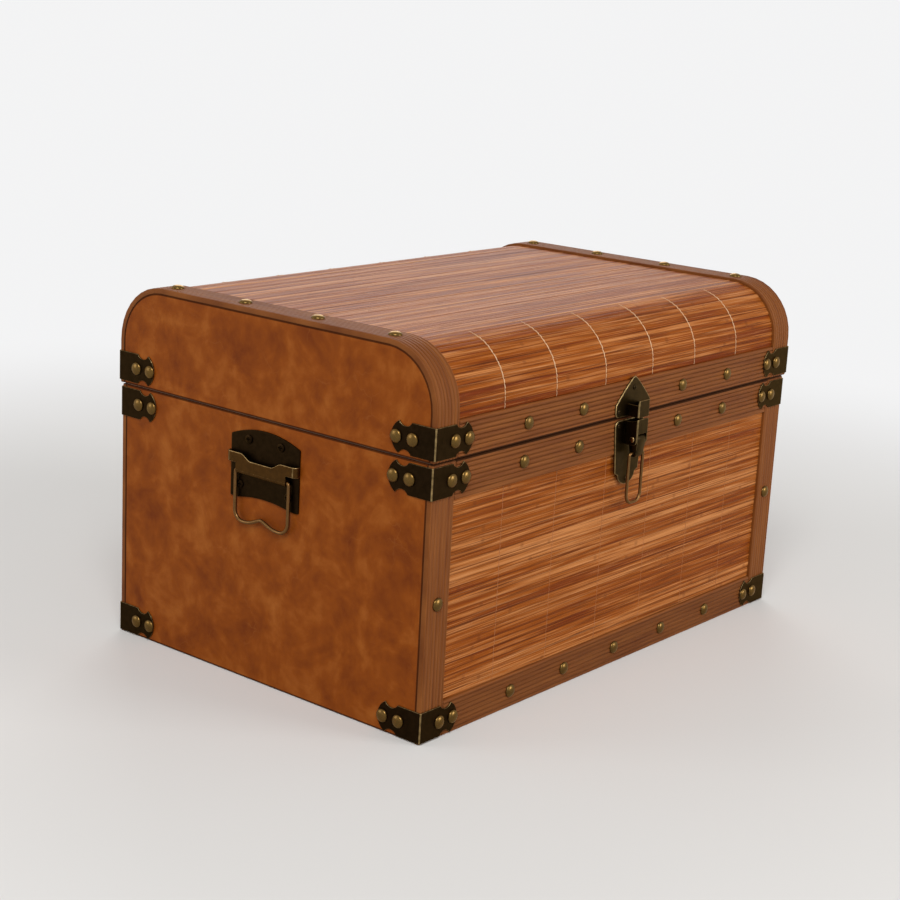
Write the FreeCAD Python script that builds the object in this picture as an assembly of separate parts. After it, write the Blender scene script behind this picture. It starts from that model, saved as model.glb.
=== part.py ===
import FreeCAD, Part
import math
import os

# Storage trunk with a lid that is flat on top and rounded along its front and back edges.
# Lengths are in millimetres, +Z is up, the front faces -Y and the origin is the middle of the underside.

Vector = FreeCAD.Vector

# Whole trunk
trunk_width = 500.0             # over the body's corner brackets, along X
trunk_depth = 340.0             # over the body's corner brackets, along Y
seam_height = 217.6             # the lid's boards rest on the body's boards here
lid_rise = 81.0                 # from the seam to the top of the lid's boards
lid_radius = 44.5               # rounded front and back edges of the lid's boards
lid_overhang_end = 0.8          # the lid stands this far past the body's ends
lid_overhang_front = 2.0        # and this far past the body's front and back
seam_relief = 0.6               # trim and coverings stop this far from the seam

# Boards and coverings
end_board_thickness = 9.0
wall_panel_thickness = 9.0
bottom_panel_thickness = 6.0
lid_shell_thickness = 7.0
leather_thickness = 1.2
leather_bevel = 0.9             # turned edge of the leather
leather_lift = 0.5              # the leather stops this far above the floor
lining_thickness = 1.0
lining_drop = 3.0               # the lining stops this far from the rim

# Bamboo matting
slat_width = 4.6
slat_thickness = 2.2
slat_groove = 0.5               # depth of the groove between two slats
slat_bevel = 0.9                # width of a slat's sloped edge

# Reeded trim
trim_thickness = 4.5
trim_bevel = 0.8
post_width = 26.0               # corner posts and the lid's end bands
bottom_rail_height = 28.0
top_rail_height = 30.8
lid_rail_height = 28.9
reed_count = 6
reed_pitch = 3.7
reed_depth = 0.9                # of the V grooves beside the reeds
reed_bevel = 0.8                # half width of a groove

# Corner brackets
bracket_sheet = 1.0
bracket_height = 24.6
bracket_arm = 42.8              # from the fold to the middle of the rounded end
bracket_tail = 35.5             # from the fold to the pointed corners of that end
bracket_notch_start = 23.2      # the notch runs from here to the pointed corner
bracket_notch_depth = 3.5
bracket_fold_round = 1.2
bracket_seam_gap = 2.2          # from the trim's edge at the seam to the bracket
bracket_floor_gap = 1.1
bracket_nail_inner = 22.0       # from the fold to the two nails of an arm
bracket_nail_outer = 38.0
bracket_bend_step = 46.0        # degrees between the straight runs of its rounded edges

# Domed nails
nail_radius = 5.4
nail_height = 2.6
head_sides = 6                  # flats round the heads of nails and screws
head_crown = 0.55               # top of a head, as a share of its width
rail_nail_pitch = 71.5
front_nail_shift = 3.0          # the front's nails sit this far off the middle, towards +X
band_nail_pitch = 78.0

# Drop handles
handle_sheet = 1.2
handle_half_width = 37.5
handle_drop = 8.9               # from the seam to the top of the plate in the middle, its crown
handle_shoulder_drop = 7.6      # from the crown to the plate's top at its sides
handle_foot_drop = 58.5         # from the crown to the foot of the plate's legs
handle_leg_width = 8.5
handle_arch_drop = 55.2         # from the crown to the top of the arch between the legs
handle_corner = 1.5
handle_screw_radius = 3.6
handle_screw_height = 1.4
handle_screw_top = 17.5         # from the middle to the upper screws
handle_screw_low = 26.5         # from the middle to the lower screws
handle_screw_top_drop = 9.2     # from the crown to the upper screws
handle_screw_low_drop = 47.2    # from the crown to the lower screws

# Strap that holds the bail
strap_standoff = 5.0            # from the plate to the strap's face
strap_sheet = 1.4
strap_drop = 20.7               # from the plate's crown to the top of the strap's ends
strap_height = 17.4
strap_panel_half = 27.3         # half width of the lower panel
strap_ear_half = 38.2           # half width over the rolled ends
strap_ear_height = 8.3
strap_ear_roll = 4.5            # depth of a rolled end along the strap
strap_ear_round = 4.0
strap_dip_depth = 4.8           # of the dip in the middle of the strap's top edge
strap_dip_half = 11.0
strap_dip_run = 11.5            # length of the curve at each end of the dip
strap_knuckle_height = 6.0

# Bail
bail_wire = 3.0                 # diameter
bail_bend = 2.0
bail_length = 41.4              # from its axis to the middle of the wire at the bottom
bail_corner = 9.0
bail_cusp_half = 19.0           # from the middle to where the bottom starts to rise
bail_cusp_line = 9.0            # straight part of the rise, beside the peak
bail_cusp_slope = 21.4          # degrees
bail_pin_length = 10.0          # each end of the wire inside the strap
running_clearance = 0.06        # radial, round pins and wire ends
wire_sides = 8                  # flats round the bails and the latch's loop
bend_step = 23.0                # degrees between the straight runs of a bent wire or band

# Latch
latch_sheet = 1.2
latch_half_width = 7.75         # outside of the folded housing and of the keeper
latch_reach = 14.4              # from the body's trim to the front of the housing and keeper
latch_fold_round = 1.4
keeper_plate_half = 24.5
keeper_side_height = 10.3       # of the plate's upright sides
keeper_height = 32.1            # to the plate's tip
keeper_tip_half = 2.5
keeper_side_bulge = 0.8
keeper_foot_corner = 4.0
keeper_seat_height = 10.1        # of the keeper's cheeks, where the loop hooks on
keeper_lip_height = 13.9
base_plate_half = 20.5
base_plate_drop = 2.3           # from the body's rim to the plate
base_plate_height = 55.7
base_plate_corner = 5.0
base_plate_waist_half = 16.5
base_plate_waist_height = 11.0   # from the plate's foot
base_plate_step_half = 12.0
housing_drop_back = 2.6         # from the rim to its top edge at the plate, halfway and at the front
housing_drop_middle = 2.4
housing_drop_front = 0.5
housing_front_drop = 12.8       # from the rim to the foot of its front wall
latch_pin_drop = 17.8           # from the rim to the pin
latch_pin_depth = 9.5           # from the body's trim to the pin
latch_pin_radius = 1.5
latch_pin_head_radius = 2.3
latch_pin_head = 0.8
lever_hub_radius = 4.6
lever_eye_radius = 3.3
lever_length = 11.8             # from the pin to the loop's ends
lever_hub_half = 6.2
lever_eye_half = 4.9
loop_wire = 2.6
loop_half_width = 9.9           # to the middle of the wire
loop_length = 42.2              # from its ends to the middle of the wire at the bottom
loop_corner = 7.0
loop_bend = 2.0
loop_pin_length = 2.6           # each end of the loop inside the lever
latch_screw_radius = 2.2
latch_screw_height = 0.9
latch_screw_edge = 4.6          # from the plates' edges to their screws
keeper_tip_screw = 9.2          # from the keeper's tip to its upper screw

# Hinges
hinge_length = 50.0
hinge_leaf = 1.6
hinge_leaf_height = 21.0
hinge_barrel_radius = 3.5
hinge_pin_radius = 1.6
hinge_lid_knuckle = 20.0
hinge_knuckle_gap = 0.3
hinge_joggle = 7.5              # from the axis down to the bend in the body leaf
hinge_open_angle = 105.0
hinge_stop_arm = 1.7
hinge_stop_reach = 9.2          # from the axis to the outside of the stop
hinge_stop_gap = 0.6            # between the stop's arm and the barrel
hinge_stop_clearance = 0.2
hinge_screw_radius = 3.2
hinge_screw_height = 1.0
hinge_screw_spread = 17.0
hinge_body_screw_drop = 14.7    # from the seam to the screws of each leaf
hinge_lid_screw_rise = 12.6

touching = 1e-6                 # points closer than this are taken as one

# Faces worked out from those
end_face = trunk_width / 2 - bracket_sheet
trim_face = trunk_depth / 2 - bracket_sheet
end_board_face = end_face - leather_thickness
inside_half_width = end_board_face - end_board_thickness
wall_face = trim_face - trim_thickness
inside_half_depth = wall_face - wall_panel_thickness
body_top = seam_height - seam_relief
post_inner = end_face - post_width
lid_end_face = end_face + lid_overhang_end
lid_board_face = lid_end_face - leather_thickness
lid_inside_half_width = lid_board_face - end_board_thickness
lid_trim_face = trim_face + lid_overhang_front
lid_wall_face = lid_trim_face - trim_thickness
lid_foot = seam_height + seam_relief
lid_top = seam_height + lid_rise
lid_rail_top = lid_foot + lid_rail_height
band_inner = lid_end_face - post_width
arc_half_depth = lid_wall_face - lid_radius
arc_height = lid_top - lid_radius
post_nail_height = body_top / 2
handle_face = end_face + handle_sheet
handle_crown = seam_height - handle_drop
handle_shoulder = handle_crown - handle_shoulder_drop
handle_foot = handle_crown - handle_foot_drop
handle_arch = handle_crown - handle_arch_drop
handle_screw_top_height = handle_crown - handle_screw_top_drop
handle_screw_low_height = handle_crown - handle_screw_low_drop
strap_ear_top = handle_crown - strap_drop
strap_ear_bottom = strap_ear_top - strap_ear_height
strap_bottom = strap_ear_top - strap_height
strap_dip = strap_ear_top - strap_dip_depth
bail_axis_x = -handle_face - strap_standoff / 2
bail_axis_z = strap_bottom + strap_knuckle_height / 2
bail_bottom = bail_axis_z - bail_length
hinge_axis_y = lid_trim_face + hinge_barrel_radius
hinge_x = 1.5 * rail_nail_pitch
keeper_plate_shoulder = lid_foot + keeper_side_height
keeper_plate_tip = lid_foot + keeper_height
keeper_seat = lid_foot + keeper_seat_height
keeper_lip = lid_foot + keeper_lip_height
base_plate_top = body_top - base_plate_drop
base_plate_bottom = base_plate_top - base_plate_height
base_plate_waist = base_plate_bottom + base_plate_waist_height
housing_top_back = body_top - housing_drop_back
housing_top_middle = body_top - housing_drop_middle
housing_top_front = body_top - housing_drop_front
housing_front_bottom = body_top - housing_front_drop
latch_pin_height = body_top - latch_pin_drop
latch_pin_y = -trim_face - latch_pin_depth
loop_pivot_height = latch_pin_height - lever_length


def export(name, *solids):
    """Write one node, a single solid or a group of separate ones."""
    shape = solids[0] if len(solids) == 1 else Part.makeCompound(list(solids))
    shape.exportStep("parts/" + name + ".step")


def box(x0, x1, y0, y1, z0, z1):
    return Part.makeBox(x1 - x0, y1 - y0, z1 - z0, Vector(x0, y0, z0))


def path(start, steps):
    """Open wire from a start point: a step of one point is a line, of two points an arc through the first."""
    edges = []
    here = start
    for step in steps:
        if len(step) == 1:
            edges.append(Part.LineSegment(here, step[0]).toShape())
        else:
            edges.append(Part.Arc(here, step[0], step[1]).toShape())
        here = step[-1]
    return Part.Wire(edges)


def face(start, steps):
    """Flat face inside a path that is closed by a line back to its start."""
    return Part.Face(path(start, steps + [[start]]))


def s_curve(at, u0, v0, u1, v1):
    """Two equal tangent arcs from (u0, v0) to (u1, v1), level at both ends."""
    run = (u1 - u0) / 2
    rise = (v1 - v0) / 2
    radius = (run * run + rise * rise) / (2 * abs(rise))
    half_turn = math.asin(min(1.0, abs(run) / radius)) / 2
    along = math.copysign(radius * math.sin(half_turn), run)
    up = math.copysign(radius * (1 - math.cos(half_turn)), rise)
    middle = at(u0 + run, v0 + rise)
    return [[at(u0 + along, v0 + up), middle], [at(u1 - along, v1 - up), at(u1, v1)]]


def corner_step(at, u, v, cu, cv, turn_u, turn_v):
    """Arc step round the centre (cu, cv) that ends at (u, v), through the diagonal (turn_u, turn_v)."""
    diagonal = math.sqrt(0.5)
    return [at(cu + turn_u * diagonal, cv + turn_v * diagonal), at(u, v)]


def mirrored(shape, *normals):
    for normal in normals:
        shape = shape.mirror(Vector(0, 0, 0), normal)
    return shape


def both_sides(shape):
    return [shape, mirrored(shape, Vector(1, 0, 0))]


def all_corners(shape):
    """A piece at the front left corner and its three mirror images."""
    left = [shape, mirrored(shape, Vector(0, 1, 0))]
    return left + [mirrored(piece, Vector(1, 0, 0)) for piece in left]


def turned_about(shape):
    """The same piece on the other end of the trunk."""
    copy = shape.copy()
    copy.rotate(Vector(0, 0, 0), Vector(0, 0, 1), 180)
    return copy


def ring(radius, up, sides):
    """Corners of a regular polygon round the Z axis, at height up."""
    angles = [2 * math.pi * k / sides for k in range(sides)]
    return [Vector(radius * math.cos(angle), radius * math.sin(angle), up) for angle in angles]


def flat_face(corners):
    return Part.Face(Part.makePolygon(corners + corners[:1]))


def head(radius, height, base, out):
    """Low head of a nail or screw in flats, on a face at base with out as its outward normal."""
    low = ring(radius, 0, head_sides)
    high = ring(radius * head_crown, height, head_sides)
    faces = [flat_face(low), flat_face(high)]
    for k in range(head_sides):
        faces.append(flat_face([low[k - 1], low[k], high[k], high[k - 1]]))
    solid = Part.Solid(Part.Shell(faces))
    solid.Placement = FreeCAD.Placement(base, FreeCAD.Rotation(Vector(0, 0, 1), out))
    return solid


def run_points(route, step):
    """Points along a route, with each of its arcs as short straight runs of about step degrees."""
    points = []
    for edge in route.OrderedEdges:
        runs = 1
        if isinstance(edge.Curve, Part.Circle):
            runs = math.ceil(math.degrees(edge.LastParameter - edge.FirstParameter) / step)
        points += edge.discretize(runs + 1)[:-1]
    points.append(route.OrderedVertexes[-1].Point)
    return points


def mitred_sweep(points, section):
    """Solid along straight runs between points, mitred where they meet."""
    mitred = 1
    return Part.makePolygon(points).makePipeShell([section], True, False, mitred)


def wire_solid(route, diameter):
    """Wire in flats along a smooth route."""
    points = run_points(route, bend_step)
    corners = ring(diameter / 2, 0, wire_sides)
    section = Part.makePolygon(corners + corners[:1])
    section.Placement = FreeCAD.Placement(points[0], FreeCAD.Rotation(Vector(0, 0, 1), points[1] - points[0]))
    return mitred_sweep(points, section)


# Body boards

def inside_box(z0, z1):
    """Box that fills the inside of the body's walls."""
    return box(-inside_half_width, inside_half_width, -inside_half_depth, inside_half_depth, z0, z1)


def make_boards():
    export("bottom_panel", inside_box(0, bottom_panel_thickness))
    front = box(-inside_half_width, inside_half_width, -wall_face, -inside_half_depth, 0, seam_height)
    export("front_panel", front)
    export("back_panel", mirrored(front, Vector(0, 1, 0)))
    left = box(-end_board_face, -inside_half_width, -wall_face, wall_face, 0, seam_height)
    export("left_end_board", left)
    export("right_end_board", mirrored(left, Vector(1, 0, 0)))


def make_end_leather():
    skin = box(-end_face, -end_board_face, -wall_face, wall_face, leather_lift, body_top)
    outer = [edge for edge in skin.Edges if edge.CenterOfMass.x < -end_face + touching]
    skin = skin.makeChamfer(leather_bevel, outer)
    export("left_end_leather", skin)
    export("right_end_leather", mirrored(skin, Vector(1, 0, 0)))


def make_body_lining():
    top = seam_height - lining_drop
    floor = bottom_panel_thickness + lining_thickness
    half_x = inside_half_width - lining_thickness
    half_y = inside_half_depth - lining_thickness
    export("body_wall_lining", inside_box(floor, top).cut(box(-half_x, half_x, -half_y, half_y, floor, top)))
    export("body_floor_lining", inside_box(bottom_panel_thickness, floor))


# Matting

def slat_steps(place, length):
    """Line steps over a row of slats; place(along, out) gives a point above the mat's back."""
    count = max(1, round(length / slat_width))
    pitch = length / count
    steps = []
    for k in range(count):
        steps.append([place(k * pitch + slat_bevel, slat_thickness)])
        steps.append([place((k + 1) * pitch - slat_bevel, slat_thickness)])
        steps.append([place((k + 1) * pitch, slat_thickness - slat_groove)])
    return steps


def make_wall_mats():
    foot = bottom_rail_height
    height = body_top - top_rail_height - foot
    groove = slat_thickness - slat_groove

    def place(along, out):
        return Vector(-post_inner, -wall_face - out, foot + along)

    section = face(place(0, 0), [[place(0, groove)]] + slat_steps(place, height) + [[place(height, 0)]])
    mat = section.extrude(Vector(2 * post_inner, 0, 0))
    export("front_bamboo_mat", mat)
    export("back_bamboo_mat", mirrored(mat, Vector(0, 1, 0)))


def make_lid_mat():
    rise = arc_height - lid_rail_top
    quarter = lid_radius * math.pi / 2
    length = 2 * (rise + quarter + arc_half_depth)
    groove = slat_thickness - slat_groove

    def place(along, out):
        """Point of the mat: up the front, round the edge to the top's middle, then the same backwards."""
        side = -1
        if along > length / 2:
            side = 1
            along = length - along
        if along <= rise:
            return Vector(-band_inner, side * (lid_wall_face + out), lid_rail_top + along)
        if along <= rise + quarter:
            angle = (along - rise) / lid_radius
            reach = lid_radius + out
            return Vector(-band_inner, side * (arc_half_depth + reach * math.cos(angle)),
                          arc_height + reach * math.sin(angle))
        return Vector(-band_inner, side * (arc_half_depth - along + rise + quarter), lid_top + out)

    steps = [[place(0, groove)]] + slat_steps(place, length) + [[place(length, 0)]]
    steps.append([place(length - rise, 0)])
    steps.append([place(length - rise - quarter / 2, 0), place(length - rise - quarter, 0)])
    steps.append([place(rise + quarter, 0)])
    steps.append([place(rise + quarter / 2, 0), place(rise, 0)])
    export("lid_bamboo_mat", face(place(0, 0), steps).extrude(Vector(2 * band_inner, 0, 0)))


# Reeded trim

def reeded_section(width, at):
    """Cross-section of the trim; at(across, out) places its points, with the back at out 0."""
    margin = (width - reed_count * reed_pitch) / 2
    steps = [[at(0, trim_thickness - trim_bevel)], [at(trim_bevel, trim_thickness)]]
    for groove in range(reed_count + 1):
        across = margin + groove * reed_pitch
        steps.append([at(across - reed_bevel, trim_thickness)])
        steps.append([at(across, trim_thickness - reed_depth)])
        steps.append([at(across + reed_bevel, trim_thickness)])
    steps.append([at(width - trim_bevel, trim_thickness)])
    steps.append([at(width, trim_thickness - trim_bevel)])
    steps.append([at(width, 0)])
    return face(at(0, 0), steps)


def make_posts():
    section = reeded_section(post_width, lambda across, out: Vector(-end_face + across, -wall_face - out, 0))
    post = section.extrude(Vector(0, 0, body_top))
    names = ("front_left_post", "back_left_post", "front_right_post", "back_right_post")
    for name, piece in zip(names, all_corners(post)):
        export(name, piece)


def make_rail(name, half_length, back, foot, height):
    section = reeded_section(height, lambda across, out: Vector(-half_length, -back - out, foot + across))
    rail = section.extrude(Vector(2 * half_length, 0, 0))
    export("front_" + name, rail)
    export("back_" + name, mirrored(rail, Vector(0, 1, 0)))


def make_lid_bands():
    """Trim bent over each end of the lid in short runs, with its back fitted to the boards' true arcs."""
    def section_at(across, out):
        return Vector(-lid_end_face + across, -lid_wall_face - out, lid_foot)

    route = path(Vector(-lid_end_face, -lid_wall_face, lid_foot), lid_steps(-lid_end_face, 0, lid_foot))
    section = reeded_section(post_width, section_at).OuterWire
    band = mitred_sweep(run_points(route, bend_step), section)
    band = band.cut(lid_slice(-lid_end_face, -band_inner, 0, lid_foot))
    export("lid_left_band", band)
    export("lid_right_band", mirrored(band, Vector(1, 0, 0)))


# Lid boards

def lid_steps(x, grow, foot):
    """Steps over the lid at x from the front's foot to the back's, grown outwards from the boards by grow."""
    half = lid_wall_face + grow
    top = lid_top + grow
    radius = lid_radius + grow

    def at(y, z):
        return Vector(x, y, z)

    steps = [[at(-half, arc_height)]]
    steps.append(corner_step(at, -arc_half_depth, top, -arc_half_depth, arc_height, -radius, radius))
    steps.append([at(arc_half_depth, top)])
    steps.append(corner_step(at, half, arc_height, arc_half_depth, arc_height, radius, radius))
    steps.append([at(half, foot)])
    return steps


def lid_slice(x0, x1, grow, foot):
    """Slice of the whole lid from x0 to x1."""
    start = Vector(x0, -lid_wall_face - grow, foot)
    return face(start, lid_steps(x0, grow, foot)).extrude(Vector(x1 - x0, 0, 0))


def make_lid_boards():
    end = lid_slice(-lid_board_face, -lid_inside_half_width, 0, seam_height)
    export("lid_left_end_board", end)
    export("lid_right_end_board", mirrored(end, Vector(1, 0, 0)))
    half = lid_inside_half_width
    inner = lid_slice(-half, half, -lid_shell_thickness, seam_height)
    export("lid_shell", lid_slice(-half, half, 0, seam_height).cut(inner))


def make_lid_leather():
    skin = lid_slice(-lid_end_face, -lid_board_face, 0, lid_foot)
    outer = [edge for edge in skin.Edges if edge.CenterOfMass.x < -lid_end_face + touching]
    skin = skin.makeChamfer(leather_bevel, outer)
    export("lid_left_leather", skin)
    export("lid_right_leather", mirrored(skin, Vector(1, 0, 0)))


def make_lid_lining():
    foot = seam_height + lining_drop
    half = lid_inside_half_width
    outer = -lid_shell_thickness
    inner = outer - lining_thickness
    roof = lid_slice(-half, half, outer, foot).cut(lid_slice(-half, half, inner, foot))
    end = lid_slice(-half, lining_thickness - half, inner, foot)
    export("lid_lining", roof, *both_sides(end))


# Corner brackets and nails

def bracket_arm_face(at):
    """One arm of a bracket, flat; at(along, up) places its points from the fold."""
    notch_middle = (bracket_notch_start + bracket_tail) / 2
    steps = [[at(bracket_notch_start, 0)]]
    steps.append([at(notch_middle, bracket_notch_depth), at(bracket_tail, 0)])
    steps.append([at(bracket_arm, bracket_height / 2), at(bracket_tail, bracket_height)])
    notch_top = bracket_height - bracket_notch_depth
    steps.append([at(notch_middle, notch_top), at(bracket_notch_start, bracket_height)])
    steps.append([at(0, bracket_height)])
    return flat_face(run_points(path(at(0, 0), steps), bracket_bend_step))


def make_brackets(name, end, front, foot):
    """Four folded brackets round the trunk's corners, whose faces are at end and front."""
    fold_x = -end - bracket_sheet
    fold_y = -front - bracket_sheet
    on_end = bracket_arm_face(lambda along, up: Vector(fold_x, fold_y + along, foot + up))
    on_front = bracket_arm_face(lambda along, up: Vector(fold_x + along, fold_y, foot + up))
    end_arm = on_end.extrude(Vector(bracket_sheet, 0, 0))
    bracket = end_arm.fuse(on_front.extrude(Vector(0, bracket_sheet, 0))).removeSplitter()
    fold = [edge for edge in bracket.Edges
            if edge.BoundBox.XMax < fold_x + touching and edge.BoundBox.YMax < fold_y + touching]
    export(name, *all_corners(bracket.makeFillet(bracket_fold_round, fold)))


def nail(base, out):
    return head(nail_radius, nail_height, base, out)


def bracket_nails(end, front, foot):
    heads = []
    middle = foot + bracket_height / 2
    fold_x = -end - bracket_sheet
    fold_y = -front - bracket_sheet
    for along in (bracket_nail_inner, bracket_nail_outer):
        heads += all_corners(nail(Vector(fold_x, fold_y + along, middle), Vector(-1, 0, 0)))
        heads += all_corners(nail(Vector(fold_x + along, fold_y, middle), Vector(0, -1, 0)))
    return heads


def rail_nails(face_y, height, steps, side):
    """Nails along a rail at whole numbers of the nail pitch; side is -1 at the front and 1 at the back."""
    shift = front_nail_shift if side < 0 else 0
    places = [Vector(shift + step * rail_nail_pitch, side * face_y, height) for step in steps]
    return [nail(place, Vector(0, side, 0)) for place in places]


def make_corner_ironwork():
    bottom = bracket_floor_gap
    top = body_top - bracket_seam_gap - bracket_height
    lid = lid_foot + bracket_seam_gap
    make_brackets("bottom_corner_brackets", end_face, trim_face, bottom)
    make_brackets("rim_corner_brackets", end_face, trim_face, top)
    make_brackets("lid_corner_brackets", lid_end_face, lid_trim_face, lid)
    body_nails = bracket_nails(end_face, trim_face, bottom) + bracket_nails(end_face, trim_face, top)
    export("body_bracket_nails", *body_nails)
    export("lid_bracket_nails", *bracket_nails(lid_end_face, lid_trim_face, lid))


def make_trim_nails():
    every = (-2, -1, 0, 1, 2)
    beside_latch = (-2, -1, 1, 2)
    rim = body_top - top_rail_height / 2
    low = bottom_rail_height / 2
    lid = lid_foot + lid_rail_height / 2
    body = rail_nails(trim_face, low, every, -1) + rail_nails(trim_face, rim, beside_latch, -1)
    body += rail_nails(trim_face, low, every, 1) + rail_nails(trim_face, rim, every, 1)
    post = Vector(-end_face + post_width / 2, -trim_face, post_nail_height)
    body += all_corners(nail(post, Vector(0, -1, 0)))
    export("body_trim_nails", *body)
    heads = rail_nails(lid_trim_face, lid, beside_latch, -1) + rail_nails(lid_trim_face, lid, every, 1)
    for step in (0.5, 1.5):
        place = Vector(-lid_end_face + post_width / 2, -step * band_nail_pitch, lid_top + trim_thickness)
        heads += all_corners(nail(place, Vector(0, 0, 1)))
    export("lid_trim_nails", *heads)


# Handles

def handle_plate():
    leg = handle_half_width - handle_leg_width

    def at(y, z):
        return Vector(-end_face, y, z)

    steps = [[at(0, handle_crown), at(-handle_half_width, handle_shoulder)]]
    steps.append([at(-handle_half_width, handle_foot)])
    steps.append([at(-leg, handle_foot)])
    steps.append([at(0, handle_arch), at(leg, handle_foot)])
    steps.append([at(handle_half_width, handle_foot)])
    plate = face(at(handle_half_width, handle_shoulder), steps).extrude(Vector(-handle_sheet, 0, 0))
    side = handle_half_width - touching
    corners = [edge for edge in plate.Edges
               if edge.Length < handle_sheet + touching and abs(edge.CenterOfMass.y) > side]
    return plate.makeFillet(handle_corner, corners)


def handle_strap():
    """Stamped strap: a waved front sheet, two ends rolled back to the plate and a knuckle for the bail."""
    front = -handle_face - strap_standoff
    curve_start = strap_dip_half + strap_dip_run

    def at(y, z):
        return Vector(front, y, z)

    steps = [[at(strap_panel_half, strap_bottom)], [at(strap_panel_half, strap_ear_bottom)]]
    steps += [[at(strap_ear_half, strap_ear_bottom)], [at(strap_ear_half, strap_ear_top)]]
    steps.append([at(curve_start, strap_ear_top)])
    steps += s_curve(at, curve_start, strap_ear_top, strap_dip_half, strap_dip)
    steps.append([at(-strap_dip_half, strap_dip)])
    steps += s_curve(at, -strap_dip_half, strap_dip, -curve_start, strap_ear_top)
    steps += [[at(-strap_ear_half, strap_ear_top)], [at(-strap_ear_half, strap_ear_bottom)]]
    steps.append([at(-strap_panel_half, strap_ear_bottom)])
    sheet = face(at(-strap_panel_half, strap_bottom), steps).extrude(Vector(strap_sheet, 0, 0))
    roll = strap_ear_half - strap_ear_roll
    ends = [box(front, -handle_face, -strap_ear_half, -roll, strap_ear_bottom, strap_ear_top),
            box(front, -handle_face, roll, strap_ear_half, strap_ear_bottom, strap_ear_top)]
    knuckle = box(front, -handle_face, -strap_panel_half, strap_panel_half,
                  strap_bottom, strap_bottom + strap_knuckle_height)
    strap = sheet.multiFuse(ends + [knuckle]).removeSplitter()
    side = strap_ear_half - touching
    rolled = [edge for edge in strap.Edges
              if abs(edge.CenterOfMass.x - front) < touching and abs(edge.CenterOfMass.y) > side]
    strap = strap.makeFillet(strap_ear_round, rolled)
    bore = Part.makeCylinder(bail_wire / 2 + running_clearance, 2 * strap_panel_half,
                             Vector(bail_axis_x, -strap_panel_half, bail_axis_z), Vector(0, 1, 0))
    return strap.cut(bore)


def handle_bail():
    """Wire bail hanging from the strap, with a small peak in the middle of its bottom."""
    half = strap_panel_half + bail_bend
    corner = half - bail_corner
    corner_top = bail_bottom + bail_corner
    turn = bail_axis_z - bail_bend
    slope = math.radians(bail_cusp_slope)
    curve = bail_cusp_half - bail_cusp_line
    curve_radius = curve / math.sin(slope)
    curve_y = bail_cusp_half - curve_radius * math.sin(slope / 2)
    curve_z = bail_bottom + curve_radius * (1 - math.cos(slope / 2))
    line_z = bail_bottom + curve_radius * (1 - math.cos(slope))
    peak = line_z + bail_cusp_line * math.tan(slope)

    def at(y, z):
        return Vector(bail_axis_x, y, z)

    steps = [[at(-strap_panel_half, bail_axis_z)]]
    steps.append(corner_step(at, -half, turn, -strap_panel_half, turn, -bail_bend, bail_bend))
    steps.append([at(-half, corner_top)])
    steps.append(corner_step(at, -corner, bail_bottom, -corner, corner_top, -bail_corner, -bail_corner))
    steps.append([at(-bail_cusp_half, bail_bottom)])
    steps += [[at(-curve_y, curve_z), at(-bail_cusp_line, line_z)], [at(0, peak)]]
    steps += [[at(bail_cusp_line, line_z)], [at(curve_y, curve_z), at(bail_cusp_half, bail_bottom)]]
    steps.append([at(corner, bail_bottom)])
    steps.append(corner_step(at, half, corner_top, corner, corner_top, bail_corner, -bail_corner))
    steps.append([at(half, turn)])
    steps.append(corner_step(at, strap_panel_half, bail_axis_z, strap_panel_half, turn, bail_bend, bail_bend))
    steps.append([at(strap_panel_half - bail_pin_length, bail_axis_z)])
    start = at(bail_pin_length - strap_panel_half, bail_axis_z)
    return wire_solid(path(start, steps), bail_wire)


def handle_screws():
    out = Vector(-1, 0, 0)
    heads = []
    for side in (-1, 1):
        upper = Vector(-handle_face, side * handle_screw_top, handle_screw_top_height)
        lower = Vector(-handle_face, side * handle_screw_low, handle_screw_low_height)
        heads.append(head(handle_screw_radius, handle_screw_height, upper, out))
        heads.append(head(handle_screw_radius, handle_screw_height, lower, out))
    return heads


def make_handles():
    pieces = {"handle_plate": [handle_plate()], "handle_strap": [handle_strap()],
              "handle_screws": handle_screws(), "handle_bail": [handle_bail()]}
    for name, solids in pieces.items():
        export("left_" + name, *solids)
        export("right_" + name, *[turned_about(solid) for solid in solids])


# Latch

def latch_screws(name, base_y, places):
    """Screws of one of the latch's plates, whose face is at base_y, at places (x, z)."""
    out = Vector(0, -1, 0)
    heads = [head(latch_screw_radius, latch_screw_height, Vector(x, base_y, z), out) for x, z in places]
    export(name, *heads)


def folded_channel(side_face, back, foot, top):
    """Sheet folded round the front into two cheeks, cut to the outline of side_face."""
    front = -trim_face - latch_reach
    half = latch_half_width
    inner = half - latch_sheet
    fold = half - latch_fold_round
    fold_y = front + latch_fold_round

    def at(x, y):
        return Vector(x, y, foot)

    steps = [[at(-half, fold_y)]]
    steps.append(corner_step(at, -fold, front, -fold, fold_y, -latch_fold_round, -latch_fold_round))
    steps.append([at(fold, front)])
    steps.append(corner_step(at, half, fold_y, fold, fold_y, latch_fold_round, -latch_fold_round))
    steps += [[at(half, back)], [at(inner, back)], [at(inner, front + latch_sheet)]]
    steps += [[at(-inner, front + latch_sheet)], [at(-inner, back)]]
    sheet = face(at(-half, back), steps).extrude(Vector(0, 0, top - foot))
    return sheet.common(side_face.extrude(Vector(2 * half, 0, 0)))


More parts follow.
